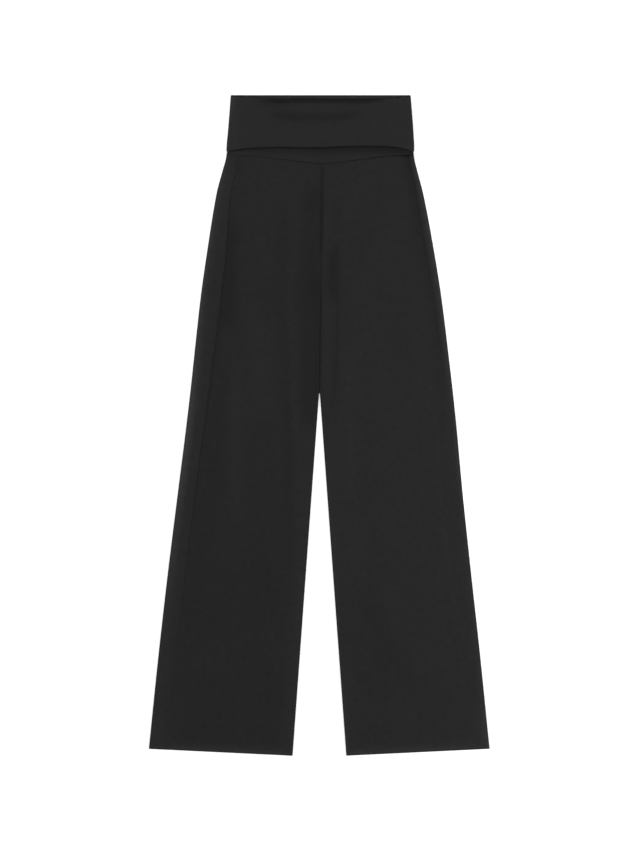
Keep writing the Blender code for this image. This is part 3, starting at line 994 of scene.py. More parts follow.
@dataclass(frozen=True)
class JerseyFinish:
    """A fine black jersey: its colour, its stitches and how light falls on it."""

    name: str
    slot: str
    colour: tuple[float, float, float]
    roughness: float
    sheen: float
    sheen_roughness: float
    specular: float
    wale: float  # width of one column of stitches
    course: float  # height of one row of stitches
    knit_height: float
    knit_painted_shade: float  # painted shade: how much darker the hollows between the stitches are painted
    mottle_gain: float
    sheen_tint: tuple[float, float, float] = (0.92, 0.94, 1.0)
    rough_swing: float = 0.07  # how far the mottle takes the roughness either way
    stitch_strength: float = 0.6
    slub_height: float = 0.00008
    blotch: float = 0.055  # sizes of the mottle's blotches, its specks and the yarn's slubs
    speck: float = 0.0080
    slub: float = 0.0035

    def material(self) -> bpy.types.Material:
        """Builds the material: knit, mottle and colour groups feeding one Principled shader, with painted
        light and shade.

        Returns:
            The new material.
        """
        material = bpy.data.materials.new(self.name)
        material.use_nodes = True
        tree = material.node_tree
        shader = tree.nodes["Principled BSDF"]
        shader.inputs["Metallic"].default_value = 0.0
        shader.inputs["Specular IOR Level"].default_value = self.specular
        shader.inputs["Sheen Weight"].default_value = self.sheen
        shader.inputs["Sheen Roughness"].default_value = self.sheen_roughness
        shader.inputs["Sheen Tint"].default_value = (*self.sheen_tint, 1.0)

        uv = tree.nodes.new("ShaderNodeUVMap")
        uv.uv_map = UV_NAME
        knit = add_group(tree, knit_group(), {"Wale": self.wale, "Course": self.course})
        tree.links.new(uv.outputs["UV"], knit.inputs["Cloth"])
        sizes = {"Blotch": self.blotch, "Speck": self.speck, "Slub": self.slub}
        mottle = add_group(tree, mottle_group(), sizes)
        tree.links.new(uv.outputs["UV"], mottle.inputs["Cloth"])
        # The painted light and shade, read from the cloth's points
        tone = tree.nodes.new("ShaderNodeAttribute")
        tone.attribute_name = PAINTED_SHADING_NAME

        values = {"Mottle gain": self.mottle_gain, "Knit painted shade": self.knit_painted_shade}
        colour = add_group(tree, colour_and_painted_shading_group(), values)
        colour.inputs["Dye"].default_value = (*self.colour, 1.0)
        tree.links.new(tone.outputs["Fac"], colour.inputs["Tone"])
        tree.links.new(mottle.outputs["Mottle"], colour.inputs["Mottle"])
        tree.links.new(knit.outputs["Height"], colour.inputs["Knit"])
        tree.links.new(colour.outputs["Colour"], shader.inputs["Base Color"])

        rough = tree.nodes.new("ShaderNodeMapRange")
        rough.inputs["To Min"].default_value = self.roughness - self.rough_swing
        rough.inputs["To Max"].default_value = self.roughness + self.rough_swing
        tree.links.new(mottle.outputs["Mottle"], rough.inputs["Value"])
        tree.links.new(rough.outputs["Result"], shader.inputs["Roughness"])

        slub = tree.nodes.new("ShaderNodeBump")
        slub.inputs["Strength"].default_value = 1.0
        slub.inputs["Distance"].default_value = self.slub_height
        tree.links.new(mottle.outputs["Slub height"], slub.inputs["Height"])
        stitches = tree.nodes.new("ShaderNodeBump")
        stitches.inputs["Strength"].default_value = self.stitch_strength
        stitches.inputs["Distance"].default_value = self.knit_height
        tree.links.new(knit.outputs["Height"], stitches.inputs["Height"])
        tree.links.new(slub.outputs["Normal"], stitches.inputs["Normal"])
        tree.links.new(stitches.outputs["Normal"], shader.inputs["Normal"])
        return material


def new_group(name: str, inputs: dict[str, str], outputs: dict[str, str]) -> tuple[bpy.types.NodeTree, bool]:
    """A shader node group with these sockets, made only once.

    Args:
        name: The group's name.
        inputs: Socket type for each input's name.
        outputs: Socket type for each output's name.

    Returns:
        The group, and whether it is new and still empty.
    """
    found = bpy.data.node_groups.get(name)
    if found:
        return found, False
    group = bpy.data.node_groups.new(name, "ShaderNodeTree")
    for socket, kind in inputs.items():
        group.interface.new_socket(socket, in_out="INPUT", socket_type=kind)
    for socket, kind in outputs.items():
        group.interface.new_socket(socket, in_out="OUTPUT", socket_type=kind)
    return group, True


def add_group(
    tree: bpy.types.NodeTree, group: bpy.types.NodeTree, values: dict[str, float]
) -> bpy.types.ShaderNode:
    """Places a node group in a material.

    Args:
        tree: The material's node tree.
        group: The group.
        values: What its plain inputs are set to.

    Returns:
        The group's node.
    """
    node = tree.nodes.new("ShaderNodeGroup")
    node.node_tree = group
    for name, value in values.items():
        node.inputs[name].default_value = value
    return node


class Formula:
    """Writes arithmetic as Math nodes in a node tree."""

    def __init__(self, tree: bpy.types.NodeTree) -> None:
        """Works in this tree."""
        self.tree = tree

    def __call__(self, operation: str, *values: bpy.types.NodeSocket | float) -> bpy.types.NodeSocket:
        """Adds one Math node.

        Args:
            operation: The node's operation.
            values: Its inputs, each a socket to link or a number.

        Returns:
            The node's output.
        """
        node = self.tree.nodes.new("ShaderNodeMath")
        node.operation = operation
        for socket, value in zip(node.inputs, values):
            if isinstance(value, bpy.types.NodeSocket):
                self.tree.links.new(value, socket)
            else:
                socket.default_value = value
        return node.outputs["Value"]

    def noise(self, vector: bpy.types.NodeSocket, scale: float, detail: float) -> bpy.types.NodeSocket:
        """Adds one Noise Texture node.

        Args:
            vector: Where it is read.
            scale: Its scale.
            detail: How many finer octaves it has.

        Returns:
            The node's factor, from 0 to 1.
        """
        node = self.tree.nodes.new("ShaderNodeTexNoise")
        node.inputs["Scale"].default_value = scale
        node.inputs["Detail"].default_value = detail
        self.tree.links.new(vector, node.inputs["Vector"])
        return node.outputs["Fac"]


def knit_group() -> bpy.types.NodeTree:
    """Face of plain jersey: columns of small V stitches.

    With a and b the place counted in wales and courses, the height is the product of |sin(2 pi a)| and
    0.7 + 0.3 cos(2 pi (b - t)). Here t falls from 1 at a column's sides to 0 at its middle, which slants the
    two legs of each stitch into a V.

    Returns:
        The group, with the stitches' height from 0 to 1.
    """
    sockets = {"Cloth": "NodeSocketVector", "Wale": "NodeSocketFloat", "Course": "NodeSocketFloat"}
    group, fresh = new_group("Jersey knit", sockets, {"Height": "NodeSocketFloat"})
    if not fresh:
        return group
    math_node = Formula(group)
    source = group.nodes.new("NodeGroupInput")
    place = group.nodes.new("ShaderNodeSeparateXYZ")
    group.links.new(source.outputs["Cloth"], place.inputs["Vector"])
    wales = math_node("DIVIDE", place.outputs["X"], source.outputs["Wale"])
    courses = math_node("DIVIDE", place.outputs["Y"], source.outputs["Course"])
    across = math_node("ABSOLUTE", math_node("SINE", math_node("MULTIPLY", wales, 2 * math.pi)))
    slant = math_node("ABSOLUTE", math_node("SUBTRACT", math_node("FRACT", wales), 0.5))
    slanted = math_node("SUBTRACT", courses, math_node("MULTIPLY", slant, 2.0))
    wave = math_node("COSINE", math_node("MULTIPLY", slanted, 2 * math.pi))
    loop = math_node("MULTIPLY_ADD", wave, 0.3, 0.7)
    sink = group.nodes.new("NodeGroupOutput")
    group.links.new(math_node("MULTIPLY", across, loop), sink.inputs["Height"])
    return group


def mottle_group() -> bpy.types.NodeTree:
    """Unevenness of dyed cloth: soft blotches and smaller specks, with streaks along the wales and slubs.

    The mottle is the sum of the four noises, each times its share.

    Returns:
        The group, with the mottle from 0 to 1 and the slubs' height.
    """
    sockets = {"Cloth": "NodeSocketVector"}
    sockets |= {name: "NodeSocketFloat" for name in ("Blotch", "Speck", "Slub")}
    outputs = {"Mottle": "NodeSocketFloat", "Slub height": "NodeSocketFloat"}
    group, fresh = new_group("Cloth mottle", sockets, outputs)
    if not fresh:
        return group
    math_node = Formula(group)
    source = group.nodes.new("NodeGroupInput")

    def scaled(size: bpy.types.NodeSocket, stretch: float) -> bpy.types.NodeSocket:
        """The place on the cloth, counted in one size and drawn out along the wales.

        Args:
            size: The size that it is counted in.
            stretch: How much longer that is along the wales.

        Returns:
            The scaled place.
        """
        across = math_node("DIVIDE", 1.0, size)
        lengthwise = math_node("DIVIDE", across, stretch)
        factors = group.nodes.new("ShaderNodeCombineXYZ")
        group.links.new(across, factors.inputs["X"])
        group.links.new(lengthwise, factors.inputs["Y"])
        product = group.nodes.new("ShaderNodeVectorMath")
        product.operation = "MULTIPLY"
        group.links.new(source.outputs["Cloth"], product.inputs[0])
        group.links.new(factors.outputs["Vector"], product.inputs[1])
        return product.outputs["Vector"]

    blotches = math_node.noise(scaled(source.outputs["Blotch"], 1.6), 1.0, 3.0)
    specks = math_node.noise(scaled(source.outputs["Speck"], 1.2), 1.0, 2.0)
    streaks = math_node.noise(scaled(source.outputs["Slub"], 14.0), 1.0, 2.0)
    slubs = math_node.noise(scaled(source.outputs["Slub"], 2.0), 1.0, 3.0)
    mixed = 0.0
    for noise, share in ((blotches, 0.22), (specks, 0.56), (streaks, 0.10), (slubs, 0.12)):
        mixed = math_node("MULTIPLY_ADD", noise, share, mixed)
    sink = group.nodes.new("NodeGroupOutput")
    group.links.new(mixed, sink.inputs["Mottle"])
    group.links.new(slubs, sink.inputs["Slub height"])
    return group


def colour_and_painted_shading_group() -> bpy.types.NodeTree:
    """The dye, lighter or darker with the painted light and shade, the mottle and the knit's painted shade.

    The dye is multiplied by (1 + painted shading) * (1 + mottle gain * (2 mottle - 1))
    * (1 - knit painted shade * (1 - knit)).

    Returns:
        The group, with the cloth's colour.
    """
    sockets = {"Dye": "NodeSocketColor"}
    sockets |= {name: "NodeSocketFloat" for name in ("Tone", "Mottle", "Mottle gain", "Knit", "Knit painted shade")}
    group, fresh = new_group("Cloth colour and painted shading", sockets, {"Colour": "NodeSocketColor"})
    if not fresh:
        return group
    math_node = Formula(group)
    source = group.nodes.new("NodeGroupInput")
    tone = math_node("ADD", source.outputs["Tone"], 1.0)
    swing = math_node("MULTIPLY_ADD", source.outputs["Mottle"], 2.0, -1.0)
    mottle = math_node("MULTIPLY_ADD", swing, source.outputs["Mottle gain"], 1.0)
    hollow = math_node("SUBTRACT", source.outputs["Knit"], 1.0)
    knit = math_node("MULTIPLY_ADD", hollow, source.outputs["Knit painted shade"], 1.0)
    factor = math_node("MULTIPLY", math_node("MULTIPLY", tone, mottle), knit)
    product = group.nodes.new("ShaderNodeVectorMath")
    product.operation = "SCALE"
    group.links.new(source.outputs["Dye"], product.inputs["Vector"])
    group.links.new(factor, product.inputs["Scale"])
    sink = group.nodes.new("NodeGroupOutput")
    group.links.new(product.outputs["Vector"], sink.inputs["Colour"])
    return group


LEG_JERSEY = JerseyFinish(
    name="leg jersey",
    slot="leg_jersey",
    colour=(0.0177, 0.0177, 0.0178),
    roughness=0.80,
    sheen=0.030,
    sheen_roughness=0.45,
    specular=0.20,
    wale=0.00075,
    course=0.00060,
    knit_height=0.00012,
    knit_painted_shade=0.35,
    mottle_gain=0.54,
)
BAND_JERSEY = JerseyFinish(
    name="waistband jersey",
    slot="waistband_jersey",
    colour=(0.0180, 0.0180, 0.0181),
    roughness=0.78,
    sheen=0.035,
    sheen_roughness=0.42,
    specular=0.20,
    wale=0.00065,
    course=0.00052,
    knit_height=0.00010,
    knit_painted_shade=0.35,
    mottle_gain=0.46,
)


@dataclass
class Garment:
    """What every piece of the garment shares: the cut, the stack and how seams turn in."""

    cut: TrouserCut
    stack: ClothStack
    passes: int = 5  # rounds in which x and down are matched to each other
    tuck: float = 0.0004  # how far the cloth dips into a seam
    tuck_reach: float = 0.0009
    growth: float = 1.5  # how much longer each step away from a seam is
    relief_painted_shading: float = 200.0  # painted shading: darker for each metre of depth in a trough, lighter for each of height on a ridge

    def tucked(
        self, grid: np.ndarray, inward: np.ndarray, depths: dict[str, float | np.ndarray]
    ) -> np.ndarray:
        """Dips edges into their seams, by the greatest of depth * exp(-distance / reach).

        Args:
            grid: The middle surface.
            inward: Unit vectors into the garment, at each grid point.
            depths: How far each edge itself moves, by its name: top, first or last.

        Returns:
            The grid with its edges dipped.
        """
        down = run(grid, 0)
        across = run(grid, 1)
        distances = {"top": down, "first": across, "last": across[:, -1:] - across}
        dips = [depth * np.exp(-distances[edge] / self.tuck_reach) for edge, depth in depths.items()]
        return grid + inward * np.maximum.reduce(dips)[..., None]

    def dressed(
        self, sheet: ClothSheet, finish: JerseyFinish, node: str, rests_on: list[str]
    ) -> bpy.types.Object:
        """Builds a sheet, gives it its finish and sets it in the frame in place of its node.

        Args:
            sheet: The cloth.
            finish: Its material.
            node: The frame's node that it stands for.
            rests_on: What it lies on; not used.

        Returns:
            The finished piece.
        """
        piece = sheet.build()
        material = bpy.data.materials.get(finish.name) or finish.material()
        piece.data.materials.append(material)
        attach(piece, BODY)
        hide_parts(node)
        flat, area = sheet.flat_size()
        count = 2 * len(piece.data.polygons)
        LOG.info("%s: cut %.3f x %.3f m, %.4f m2, %d triangles", piece.name, *flat, area, count)
        return piece


@dataclass
class LegPanel(Garment):
    """One of the four leg panels."""

    side: Side = Side.LEFT
    layer: Layer = Layer.FRONT
    rows: int = 380
    front_columns: int = 84
    back_columns: int = 60
    wrap_columns: int = 9
    fold_steps: int = 16
    margin: float = 0.0028  # the lines beside a seam are crowded at least this far in
    hem_gap: float = 0.0001  # between the leg and its turn-up
    hem_steps: int = 8
    hem_rows: int = 8
    rolled_rim: float = 0.00008  # rounding of an edge that meets its neighbour face to face
    least_roll: float = 0.001  # the flat centre seam bends this share of a full roll
    dip_painted_shade: float = 280.0  # painted shade: darkening for each metre that a side seam's dip is deep
    side_painted_shade: float = 0.16  # how much darker painted shade makes the cloth where it turns into the side seam
    top_painted_shade: float = 1.00  # and the painted shade where it turns into the waistband seam
    top_lean: float = 0.55  # how much more of that there is to the wearer's left, as a share
    seam_shade_reach: float = 0.0014
    top_shade_reach: float = 0.0008
    lean_painted_light: float = 0.045  # painted light: the left leg lighter low down, and the right darker
    lean_start: tuple[float, float] = (0.150, 0.650)  # that comes in over these distances down
    centre_painted_shade: float = 0.28  # how much darker painted shade makes the cloth where it turns into the centre seam
    centre_start: tuple[float, float] = (0.108, 0.120)  # it comes in over these distances down
    centre_end: tuple[float, float] = (-0.015, 0.010)  # from the split, it fades over these distances
    centre_shade_reach: float = 0.0024
    centre_spread: float = 0.8  # how much wider it gets where the edge is rolled, as a share

    @property
    def name(self) -> str:
        """The node that the panel stands for."""
        return f"{self.layer.word}_leg_{self.side.word}"

    @property
    def out(self) -> int:
        """Sign that turns the grid's own normals to the outside of the garment."""
        return self.side.value * self.layer.value

    def edge(self, skipped: int = 0) -> np.ndarray:
        """Distances of the lines beside a seam, without the first few."""
        return rim_lines(self.stack.ply / 2, self.growth, self.margin)[skipped:]

    def hem_lines(self) -> tuple[Lines, np.ndarray]:
        """Rows from the waistband seam to the hem, round its fold and up inside it.

        Round the fold the cloth goes down by r sin(angle) and inward by r (1 - cos(angle)).

        Returns:
            The rows, and how far inward of the outer cloth each lies.
        """
        radius = (self.stack.ply + self.hem_gap) / 2
        lead = self.edge()
        near = radius + (lead[RIM_STEPS:] - lead[RIM_STEPS])
        outer = spread(lead, near, self.rows)
        angle = np.linspace(0.0, math.pi, self.hem_steps + 1)[1:]
        raw = self.stack.hem_depth - lead[::-1]
        first_row = self.margin / 3
        inner = np.geomspace(first_row, raw[0], self.hem_rows)[:-1]
        turned = np.concatenate([inner, raw])
        below = np.concatenate([radius * (1.0 - np.sin(angle)), radius + turned])
        share = np.concatenate([outer.share, np.ones_like(below)])
        shift = np.concatenate([outer.shift, -below])
        inward = np.concatenate([0 * outer.share, radius * (1.0 - np.cos(angle)), 2 * radius + 0 * turned])
        return Lines(share, shift).as_rows(), inward[:, None]

    def matched(self, rows: Lines, place: Place, centre_down: float) -> tuple[np.ndarray, np.ndarray]:
        """x and down for each row of a part, where place gives x from down and the edges give down from x.

        Args:
            rows: The rows, from the waistband seam to the hem.
            place: x of each column at a distance down.
            centre_down: The waistband seam's distance down at its centre.

        Returns:
            x and down over the part's grid.
        """
        cut = self.cut
        down = rows.place(np.full((1, 1), cut.side_seam_down), np.full((1, 1), cut.hem_outer_down))
        for _ in range(self.passes):
            x = place(down)
            top = cut.band_seam(x, centre_down) + cut.shut_gap
            down = rows.place(top, cut.hem(x) - self.stack.ply / 2)
        return place(down), down

    def first_rim(self, down: np.ndarray) -> np.ndarray:
        """How far in the rounding of the inner edge reaches: less where it is rolled."""
        return self.stack.ply / 2 + (self.rolled_rim - self.stack.ply / 2) * self.cut.rolled(down)

    def first_tuck(self, down: np.ndarray) -> np.ndarray:
        """How far the inner edge dips into the centre seam: not at all where it is rolled."""
        return self.tuck * (1.0 - self.cut.rolled(down)) ** 3

    def inner_roll(self, down: np.ndarray, share: np.ndarray) -> tuple[np.ndarray, np.ndarray]:
        """The inner edge, at shares of the way along its roll from the flat cloth to the seam.

        The roll is an arc of fixed length: straight at the centre seam, and a quarter circle down the inside
        leg. At the angle a it has dropped by (1 - cos(a)) / bend and has (sin(whole) - sin(a)) / bend to go.
        It ends short of the seam's plane by hypot(bulge, level) - level, so that its rounded rim just meets
        it, less what the dip at the seam takes it back.

        Args:
            down: Distances below the top fold.
            share: 0 at the flat cloth and 1 at the seam.

        Returns:
            x, and the depth below the flat cloth.
        """
        edge = self.cut.inner_edge(self.side, down)
        if self.layer is Layer.BACK:
            edge = edge + self.cut.back_aside * (1.0 - self.cut.rolled(down))
        rolled = np.maximum(self.cut.rolled(down), self.least_roll)
        radius = self.stack.roll_radius(self.side, edge, down) - self.cut.seam_gap / 2
        bend = rolled / radius
        whole = rolled * math.pi / 2
        angle = whole * share
        bulge = self.stack.ply / 2 * np.sin(whole)
        level = self.first_rim(down) * np.cos(whole)
        dip = self.first_tuck(down) * np.sin(whole)
        end = edge + self.side.value * (np.hypot(bulge, level) - level - dip)
        x = end + self.side.value * (np.sin(whole) - np.sin(angle)) / bend
        return x, (1.0 - np.cos(angle)) / bend

    def flat_start(self, down: np.ndarray) -> np.ndarray:
        """x at which the flat cloth starts, beside the roll of its inner edge."""
        return self.inner_roll(down, np.zeros((1, 1)))[0]

    def front_height(self, x: np.ndarray, down: np.ndarray) -> np.ndarray:
        """Height of the middle of the front's cloth on this side."""
        return self.stack.front_height(self.side, x, down)

    def roll_part(self) -> tuple[float, Place, Height]:
        """The rolled inner edge, from the seam to the flat cloth.

        Returns:
            The waistband seam's depth, and functions for x and height.
        """
        lines = self.edge()
        share = 1.0 - (lines / lines[-1])[None, :]

        def roll_x(down: np.ndarray) -> np.ndarray:
            """x of each column of the roll."""
            return self.inner_roll(down, share)[0]

        def roll_height(x: np.ndarray, down: np.ndarray) -> np.ndarray:
            """The flat cloth's height beside the roll, and from there down in front or up behind.

            Args:
                x: Places across the garment, which the height doesn't depend on.
                down: Distances below the top fold.

            Returns:
                The height at each place.
            """
            depth = self.inner_roll(down, share)[1]
            if self.layer is Layer.BACK:
                return self.stack.flat_back_height(down) + depth
            return self.front_height(self.flat_start(down), down) - depth

        return self.cut.seam_down(self.layer), roll_x, roll_height

    def front_parts(self) -> list[tuple[float, Place, Height]]:
        """A front panel across: its rolled inner edge, then the flat cloth to the side seam.

        Returns:
            Each part's waistband seam depth, and functions for x and height.
        """
        cut, side = self.cut, self.side
        columns = spread(self.edge(RIM_STEPS + 1), self.edge(), self.front_columns)

        def flat_x(down: np.ndarray) -> np.ndarray:
            """x of each column, from the roll to just short of the side seam."""
            seam = cut.side_seam(side, down) - side.value * cut.side_half_gap(side, down)
            return columns.place(self.flat_start(down), seam)

        return [self.roll_part(), (cut.front_seam_down, flat_x, self.front_height)]

    def back_parts(self) -> list[tuple[float, Place, Height]]:
        """A back panel across: rolled inner edge, flat underside, outer fold, and on to the side seam.

        Returns:
            Each part's waistband seam depth, and functions for x and height.
        """
        cut, stack, sign = self.cut, self.stack, self.side.value
        below = spread(self.edge(RIM_STEPS + 1), self.edge(RIM_STEPS + 2), self.back_columns)
        turn = np.linspace(math.pi, 0.0, self.fold_steps + 1)[None, :]
        wrap = spread(self.edge(RIM_STEPS + 2)[:2], self.edge(), self.wrap_columns)

        def radius(down: np.ndarray) -> np.ndarray:
            """Radius of the outer fold, at the middle of the cloth."""
            return stack.roll_radius(self.side, cut.outline(self.side, down), down)

        def fold_centre(down: np.ndarray) -> np.ndarray:
            """x of the middle of the outer fold's half circle."""
            return cut.outline(self.side, down) - sign * (stack.ply / 2 + radius(down))

        def below_x(down: np.ndarray) -> np.ndarray:
            """x of each column of the underside, from the roll to the outer fold."""
            return below.place(self.flat_start(down), fold_centre(down))

        def fold_x(down: np.ndarray) -> np.ndarray:
            """x round the fold: its centre and radius * sin(turn)."""
            return fold_centre(down) + sign * radius(down) * np.sin(turn)

        def fold_height(x: np.ndarray, down: np.ndarray) -> np.ndarray:
            """Height round the fold: the underside's and radius * (1 + cos(turn))."""
            return stack.flat_back_height(down) + radius(down) * (1.0 + np.cos(turn))

        def wrap_x(down: np.ndarray) -> np.ndarray:
            """x of each column on the front, from the fold to just short of the side seam."""
            seam = cut.side_seam(self.side, down) + sign * cut.side_half_gap(self.side, down)
            return wrap.place(fold_centre(down), seam)

        return [
            self.roll_part(),
            (cut.back_seam_down, below_x, stack.back_height),
            (cut.back_seam_down, fold_x, fold_height),
            (cut.front_seam_down, wrap_x, self.front_height),
        ]

    def painted_shades(self, grid: np.ndarray, x: np.ndarray, down: np.ndarray) -> np.ndarray:
        """Painted light and shade on the cloth: painted highlights along its folded edges and on ridges,
        painted shade in troughs and at seams.

        It is the greatest of the painted highlights along the edges, plus the painted light past the side
        seam, the painted shading of the relief and the painted fall of light from leg to leg, minus the
        greatest of the seams' painted shades and the painted shadow below the waistband.

        Args:
            grid: The middle surface.
            x: Places across the garment.
            down: Distances below the top fold.

        Returns:
            The tone at each grid point.
        """
        cut, side = self.cut, self.side
        from_outer = np.abs(cut.outline(side, down) - x)
        from_inner = np.abs(x - cut.inner_edge(side, down))
        # Painted highlights along the outer fold, the inside leg and the hem
        outer, inner = (
            PaintedEdgeLight(*(along(rows[side], name, down) for name in ("pale", "reach", "power")))
            for rows in (SIDES, INSIDE_LEGS)
        )
        # Painted light on the cloth past the side seam
        strip = along(SIDES[side], "strip", down) * (side.value * (x - cut.side_seam(side, down)) > 0.0)
        hem = HEM_PAINTED_LIGHT.at(np.maximum(cut.hem(x) - down, 0.0))
        front = self.layer is Layer.FRONT
        # Painted shading of the relief: lighter on ridges, darker in troughs and in the side seams' dips
        relief = sum(fold.relief(x, down) for fold in (FRONT_FOLDS if front else BACK_FOLDS))
        relief = relief * self.relief_painted_shading - self.stack.seam_dip(side, x, down) * self.dip_painted_shade
        across = run(grid, 1)
        past = across[:, -1:] - across
        # Painted shade where the cloth turns into the waistband seam, the side seam and the centre seam
        top = self.top_painted_shade * (1.0 + self.top_lean * x / cut.band_seam_reach)
        centre = self.centre_painted_shade * ease(down, *self.centre_start)
        centre = centre * (1.0 - ease(down - cut.split_down, *self.centre_end))
        centre_reach = self.centre_shade_reach * (1.0 + self.centre_spread * cut.rolled(down))
        shades = (
            top * np.exp(-run(grid, 0) / self.top_shade_reach),
            self.side_painted_shade * along(SIDES[side], "line", down) * np.exp(-past / self.seam_shade_reach),
            centre * np.exp(-across / centre_reach),
        )
        pale = np.maximum.reduce([outer.at(from_outer), inner.at(from_inner), hem]) + strip + relief
        # Painted fall of the light from the left leg to the right, then the painted shades and shadow taken
        # off
        pale = pale + side.value * self.lean_painted_light * ease(down, *self.lean_start)
        return pale - np.maximum.reduce(shades) - self.stack.band_painted_shadow(x, down) * front

    def sheet(self) -> ClothSheet:
        """Works out the panel's cloth.

        Returns:
            The sheet, ready to build.
        """
        rows, inward = self.hem_lines()
        parts = self.front_parts() if self.layer is Layer.FRONT else self.back_parts()
        strips, xs, downs = [], [], []
        for centre_down, place, height in parts:
            x, down = self.matched(rows, place, centre_down)
            strips.append(np.stack([x, self.cut.waist_y - down, height(x, down)], axis=-1))
            xs.append(x)
            downs.append(down)
        grid = np.concatenate(strips, axis=1)
        x, down = np.concatenate(xs, axis=1), np.concatenate(downs, axis=1)

        outer = int((inward[:, 0] == 0.0).sum())
        into = -self.out * normals(grid[:outer])
        into = np.concatenate([into, np.repeat(into[-1:], len(grid) - outer, axis=0)])
        line = along(SIDES[self.side], "line", down[:, -1:])
        tucks = {"top": self.tuck, "first": self.first_tuck(down[:, :1]), "last": self.tuck * line}
        grid = self.tucked(grid, into, tucks)
        grid = grid + into * inward[..., None]
        rim = self.stack.ply / 2
        start = grid[:, :1, 0] * self.side.value
        name = f"jersey_{self.name}"
        rims = Rims(rim, rim, self.first_rim(down[:, :1]), self.rolled_rim + (rim - self.rolled_rim) * line)
        return ClothSheet(name, grid, self.stack.ply, rims, self.painted_shades(grid, x, down), start)

    def build(self) -> bpy.types.Object:
        """Builds and dresses the panel."""
        rests_on = [] if self.layer is Layer.BACK else [f"jersey_back_leg_{self.side.word}"]
        return self.dressed(self.sheet(), LEG_JERSEY, self.name, rests_on)


